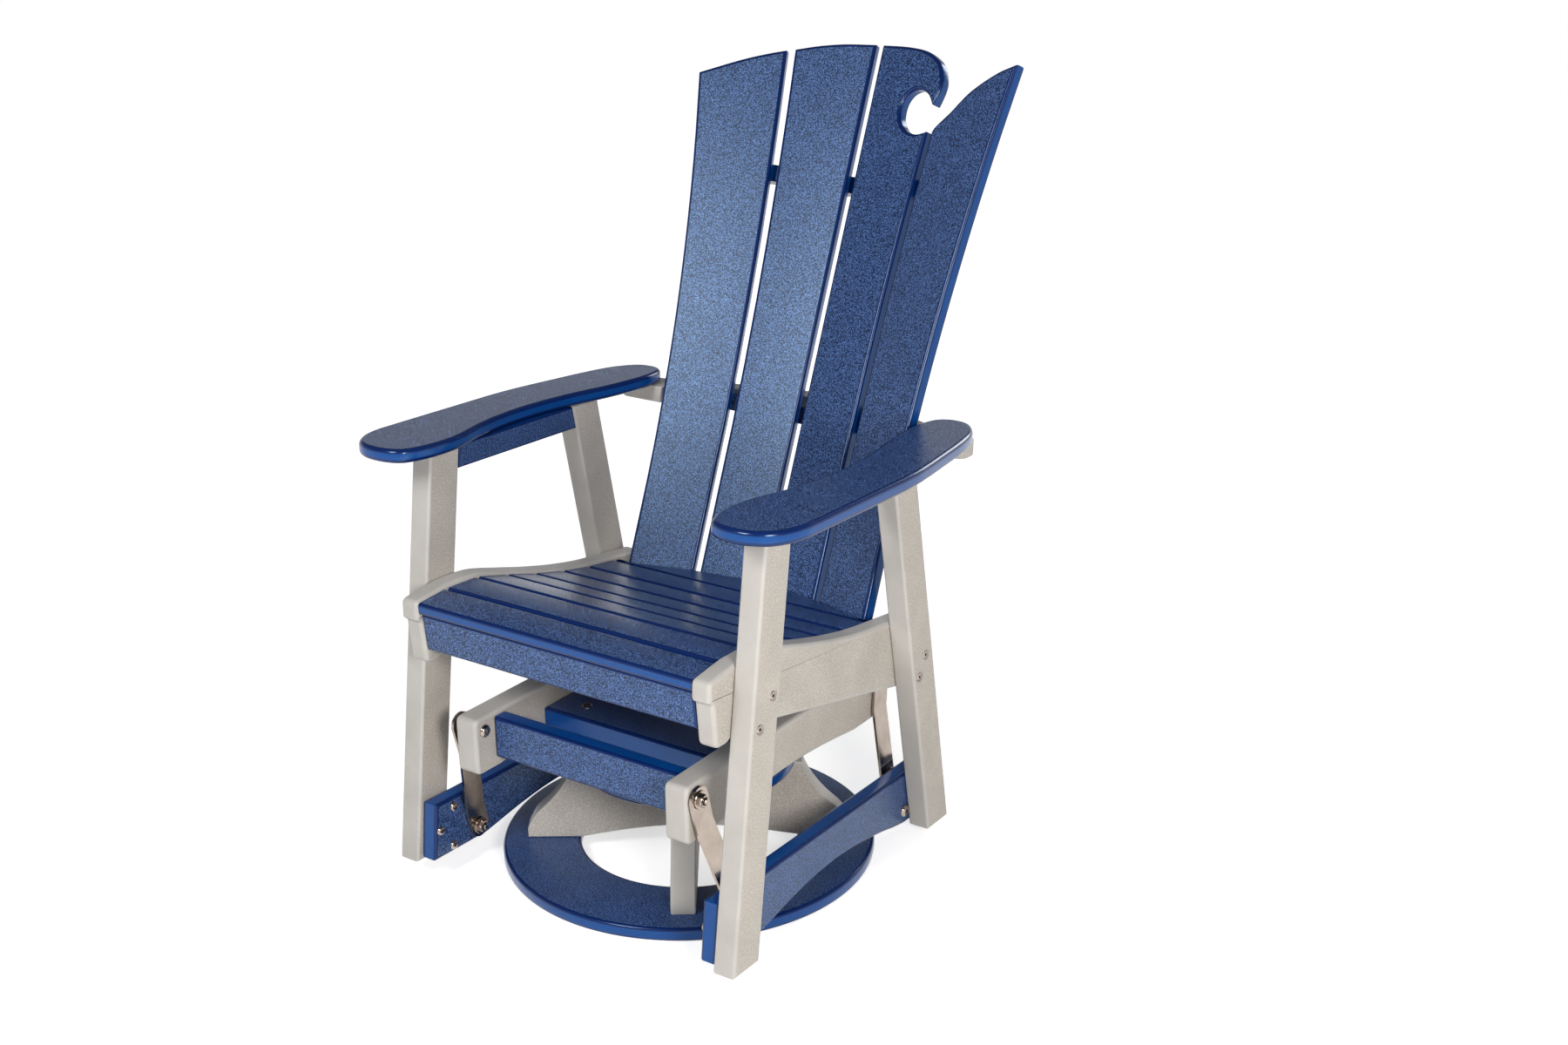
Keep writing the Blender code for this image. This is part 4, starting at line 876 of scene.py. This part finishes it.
def slats_on_a_line():
    """One eased slat on each edge of a line: its width is the edge's length less a gap."""
    tree, entry, result = new_group(
        "slats on a line", "GeometryNodeTree",
        [
            ("Line", "NodeSocketGeometry", None), ("Half Length", "NodeSocketFloat", 0.25),
            ("Thickness", "NodeSocketFloat", 0.019), ("Width", "NodeSocketFloat", 0.063),
            ("Gap", "NodeSocketFloat", 0.005), ("Easing", "NodeSocketFloat", 0.005),
            ("Finish", "NodeSocketMaterial", None),
        ],
        [("Geometry", "NodeSocketGeometry")],
    )
    def combined(x, y, z):
        node = tree.nodes.new("ShaderNodeCombineXYZ")
        for value, socket in zip((x, y, z), node.inputs):
            link_up(tree, value, socket)
        return node.outputs[0]

    ends = tree.nodes.new("GeometryNodeInputMeshEdgeVertices")
    along = tree.nodes.new("ShaderNodeVectorMath")
    along.operation = "SUBTRACT"
    tree.links.new(ends.outputs["Position 2"], along.inputs[0])
    tree.links.new(ends.outputs["Position 1"], along.inputs[1])
    kept = tree.nodes.new("GeometryNodeCaptureAttribute")
    kept.domain = "EDGE"
    kept.capture_items.new("VECTOR", "Along")
    tree.links.new(entry.outputs["Line"], kept.inputs["Geometry"])
    tree.links.new(along.outputs[0], kept.inputs["Along"])
    points = tree.nodes.new("GeometryNodeMeshToPoints")
    points.mode = "EDGES"
    tree.links.new(kept.outputs["Geometry"], points.inputs["Mesh"])
    aim = tree.nodes.new("FunctionNodeAlignRotationToVector")
    aim.axis = "Y"
    aim.pivot_axis = "X"
    tree.links.new(kept.outputs["Along"], aim.inputs["Vector"])
    reach = tree.nodes.new("ShaderNodeVectorMath")
    reach.operation = "LENGTH"
    tree.links.new(kept.outputs["Along"], reach.inputs[0])
    width = calculate(tree, "SUBTRACT", reach.outputs["Value"], entry.outputs["Gap"])
    stretch = calculate(tree, "DIVIDE", width, entry.outputs["Width"])
    path = tree.nodes.new("GeometryNodeCurvePrimitiveLine")
    minus = calculate(tree, "MULTIPLY", entry.outputs["Half Length"], -1.0)
    tree.links.new(combined(minus, 0.0, 0.0), path.inputs["Start"])
    tree.links.new(combined(entry.outputs["Half Length"], 0.0, 0.0), path.inputs["End"])
    section = tree.nodes.new("GeometryNodeCurvePrimitiveQuadrilateral")
    tree.links.new(entry.outputs["Width"], section.inputs["Width"])
    tree.links.new(entry.outputs["Thickness"], section.inputs["Height"])
    eased = tree.nodes.new("GeometryNodeFilletCurve")
    eased.mode = "POLY"
    eased.inputs["Count"].default_value = 4
    tree.links.new(section.outputs["Curve"], eased.inputs["Curve"])
    tree.links.new(entry.outputs["Easing"], eased.inputs["Radius"])
    bar = tree.nodes.new("GeometryNodeCurveToMesh")
    bar.inputs["Fill Caps"].default_value = True
    tree.links.new(path.outputs["Curve"], bar.inputs["Curve"])
    tree.links.new(eased.outputs["Curve"], bar.inputs["Profile Curve"])
    lowered = tree.nodes.new("GeometryNodeTransform")
    drop = calculate(tree, "MULTIPLY", entry.outputs["Thickness"], -0.5)
    tree.links.new(bar.outputs["Mesh"], lowered.inputs["Geometry"])
    tree.links.new(combined(0.0, 0.0, drop), lowered.inputs["Translation"])
    placed = tree.nodes.new("GeometryNodeInstanceOnPoints")
    tree.links.new(points.outputs["Points"], placed.inputs["Points"])
    tree.links.new(lowered.outputs["Geometry"], placed.inputs["Instance"])
    tree.links.new(aim.outputs["Rotation"], placed.inputs["Rotation"])
    tree.links.new(combined(1.0, stretch, 1.0), placed.inputs["Scale"])
    real = tree.nodes.new("GeometryNodeRealizeInstances")
    tree.links.new(placed.outputs["Instances"], real.inputs["Geometry"])
    finish = tree.nodes.new("GeometryNodeSetMaterial")
    tree.links.new(real.outputs["Geometry"], finish.inputs["Geometry"])
    tree.links.new(entry.outputs["Finish"], finish.inputs["Material"])
    tree.links.new(finish.outputs["Geometry"], result.inputs["Geometry"])
    return tree


def seat_slats():
    """The seven equal slats, on a line that runs down the seat."""
    line = [
        CHAIR_PLACE @ Vector((0.0, SEAT_FRONT_Y + SEAT_DEPTH * along, SEAT_CREST - SEAT_DIP * down))
        for along, down in SEAT_LINE_SHARES
    ]
    mesh = bpy.data.meshes.new("seat_slats_1_to_7")
    mesh.from_pydata([tuple(point) for point in line], [(i, i + 1) for i in range(7)], [])
    made = bpy.data.objects.new(mesh.name, mesh)
    bpy.context.scene.collection.objects.link(made)
    modifier = made.modifiers.new("slats", "NODES")
    modifier.node_group = slats_on_a_line()
    low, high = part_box("seat_slat_1")
    set_inputs(modifier, {
        "Half Length": (high[0] - low[0]) / 2, "Thickness": SLAT_THICKNESS,
        "Width": NOMINAL_SLAT_WIDTH, "Gap": SLAT_GAP, "Easing": SLAT_EASING, "Finish": NAVY,
    })
    settled(made)
    made.data.shade_smooth()
    made.data.set_sharp_from_angle(angle=CREASE_BEND)
    marks = made.data.attributes.new("machined", "FLOAT", "FACE")
    shares = [face.area for face in made.data.polygons]
    broad, edge = BROAD_AREA_SHARE * max(shares), EDGE_AREA_SHARE * max(shares)
    marks.data.foreach_set("value", [
        0.0 if area > broad else SAWN_MARK if area > edge else RIM_MARK for area in shares
    ])
    stand_for(made, "navy_lumber", *(f"seat_slat_{i + 1}" for i in range(7)))


seat_slats()
eased_board("seat_slat_8", "navy_lumber", SLAT_EASING)
eased_board("apron", "navy_lumber", BOARD_EASING)


# Back slats
# Four tall navy slats, fanned and set to a shallow hollow. The third ends in the curl of a wave
# and the fourth rises to a point; all their edges are rounded over.

BACK_EASING = 0.0055
SLAT_COUNT = 4
for i in range(SLAT_COUNT):
    eased_board(f"back_slat_{i + 1}", "navy_lumber", BACK_EASING, curved=True)


# Boards behind the back
# Two navy battens and a stone board tie the slats together from behind, each sawn to their
# hollow and screwed on from the rear. A stone cross board carries the rear ends of the arms.

BATTEN_EASING = 0.0030
SCREW_SHARES = (0.3, 0.7)  # across each slat's part of the board
PROBE_REACH = 0.1


def screws_from_behind(board, node):
    """Two screws for each slat, set square to the board's rear edge."""
    low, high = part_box(node)
    bpy.context.view_layer.update()
    places = []
    behind, middle = high[1] + PROBE_REACH, (low[2] + high[2]) / 2
    for share in ((i + part) / SLAT_COUNT for i in range(SLAT_COUNT) for part in SCREW_SHARES):
        start = Vector((low[0] + (high[0] - low[0]) * share, behind, middle))
        struck, point, square, _ = board.ray_cast(start, Vector((0.0, -1.0, 0.0)))
        if struck:
            places.append((point, square))
    return places


batten_places = []
for node, slot in (
    ("upper_batten", "navy_lumber"), ("lower_batten", "navy_lumber"),
    ("lower_back_support", "stone_lumber"),
):
    batten_places += screws_from_behind(eased_board(node, slot, BATTEN_EASING), node)
chair_screws("batten_screws", batten_places, 7)
eased_board("rear_cross_board", "stone_lumber", BATTEN_EASING)


# Arms and arm rails
# Paddle-shaped navy arms on the legs, with a short navy board under each between the legs.
# The arms are rounded over all round, above and below.

ARM_EASING = 0.0065
for side in ("left", "right"):
    eased_board(f"arm_{side}", "navy_lumber", ARM_EASING, curved=True)
    eased_board(f"arm_rail_{side}", "navy_lumber", BATTEN_EASING)

for stock in (hex_head, round_head, pan_head, screw_hole):
    bpy.data.objects.remove(stock)


# Studio
# A pale floor and a low white backdrop all round, a soft key light in front of the chair, a
# warmer one on its near side, a weak one behind it, and the camera at the photographed angle.

FLOOR_HALF = 9.0
FLOOR_COLOUR = (0.90, 0.90, 0.90, 1.0)
FLOOR_ROUGHNESS = 0.9
GLOW_REACH = (0.8, 3.0)  # distances over which the floor's own glow grows
GLOW_STRENGTH = (0.60, 0.95)
FILL_STRENGTH = 0.20
BACKDROP_HEIGHTS = (0.12, 0.32)  # as upward parts of a ray: where the backdrop ends
CEILING_STRENGTH = 0.15
WHITE = (1.0, 1.0, 1.0, 1.0)
CAMERA_PLACE = (1.6919, -2.2326 + SWIVEL_Y, 1.5701)
CAMERA_TURN = math.radians(33.001)
CAMERA_DROP = math.radians(20.815)
CAMERA_ROLL = math.radians(-0.034)
CAMERA_LENS_MM = 43.92
CAMERA_SENSOR_MM = 36.0
CAMERA_SHIFT = (-0.01818, 0.02104)


def seen_by_eye(tree):
    """1 on the rays that the camera or a mirror sends out, and 0 on the rays of plain light."""
    path = tree.nodes.new("ShaderNodeLightPath")
    seen = calculate(tree, "MAXIMUM", path.outputs["Is Camera Ray"], path.outputs["Is Glossy Ray"])
    return calculate(tree, "MAXIMUM", seen, path.outputs["Is Transmission Ray"])


world = bpy.data.worlds.new("studio")
bpy.context.scene.world = world
world.use_nodes = True
air = world.node_tree.nodes["Background"]
air.inputs["Color"].default_value = WHITE
heading = world.node_tree.nodes.new("ShaderNodeTexCoord").outputs["Generated"]
upward = world.node_tree.nodes.new("ShaderNodeSeparateXYZ")
world.node_tree.links.new(heading, upward.inputs[0])
height = upward.outputs["Z"]
backdrop = spread(world.node_tree, height, *BACKDROP_HEIGHTS, 1.0, CEILING_STRENGTH)
camera_ray = world.node_tree.nodes.new("ShaderNodeLightPath").outputs["Is Camera Ray"]
mirrored = calculate(world.node_tree, "MAXIMUM", backdrop, camera_ray)
seen = seen_by_eye(world.node_tree)
strength = spread(world.node_tree, seen, 0.0, 1.0, FILL_STRENGTH, mirrored)
world.node_tree.links.new(strength, air.inputs["Strength"])

shell = bmesh.new()
bmesh.ops.create_grid(shell, x_segments=1, y_segments=1, size=FLOOR_HALF)
paper = bpy.data.materials.new("pale floor")
paper.use_nodes = True
sheet = paper.node_tree.nodes["Principled BSDF"]
sheet.inputs["Base Color"].default_value = FLOOR_COLOUR
sheet.inputs["Roughness"].default_value = FLOOR_ROUGHNESS
sheet.inputs["Emission Color"].default_value = WHITE
from_middle = paper.node_tree.nodes.new("ShaderNodeVectorMath")
from_middle.operation = "LENGTH"
across = paper.node_tree.nodes.new("ShaderNodeTexCoord").outputs["Object"]
paper.node_tree.links.new(across, from_middle.inputs[0])
growing = spread(paper.node_tree, from_middle.outputs["Value"], *GLOW_REACH, *GLOW_STRENGTH)
glow = calculate(paper.node_tree, "MULTIPLY", seen_by_eye(paper.node_tree), growing)
paper.node_tree.links.new(glow, sheet.inputs["Emission Strength"])
floor = new_object("floor", shell, paper)


def soft_light(name, place, aim, size, energy, colour=(1.0, 1.0, 1.0)):
    """A round lamp this wide, in metres, aimed at a point; its energy is in watts."""
    data = bpy.data.lights.new(name, "AREA")
    data.shape = "DISK"
    data.size = size
    data.energy = energy
    data.color = colour
    made = bpy.data.objects.new(name, data)
    made.location = place
    made.rotation_euler = (Vector(aim) - Vector(place)).to_track_quat("-Z", "Y").to_euler()
    bpy.context.scene.collection.objects.link(made)


soft_light(
    "key", place=(-0.25, -2.60, 2.25), aim=(-0.1, 0.1, 0.75), size=0.9, energy=42.0,
)
soft_light(
    "side", place=(2.0, -1.5, 1.2), aim=(0.2, -0.2, 0.5), size=0.8, energy=38.0,
    colour=(1.0, 0.955, 0.90),
)
soft_light(
    "behind", place=(0.6, 3.0, 1.75), aim=(0.0, 0.3, 0.7), size=1.2, energy=24.0,
)

data = bpy.data.cameras.new("camera")
data.sensor_width = CAMERA_SENSOR_MM
data.lens = CAMERA_LENS_MM
data.shift_x, data.shift_y = CAMERA_SHIFT
camera = bpy.data.objects.new("camera", data)
camera.matrix_world = (
    Matrix.Translation(CAMERA_PLACE) @ Matrix.Rotation(CAMERA_TURN, 4, "Z")
    @ Matrix.Rotation(math.radians(90) - CAMERA_DROP, 4, "X")
    @ Matrix.Rotation(CAMERA_ROLL, 4, "Z")
)
bpy.context.scene.collection.objects.link(camera)
bpy.context.scene.camera = camera
bpy.context.scene.view_settings.view_transform = "Standard"
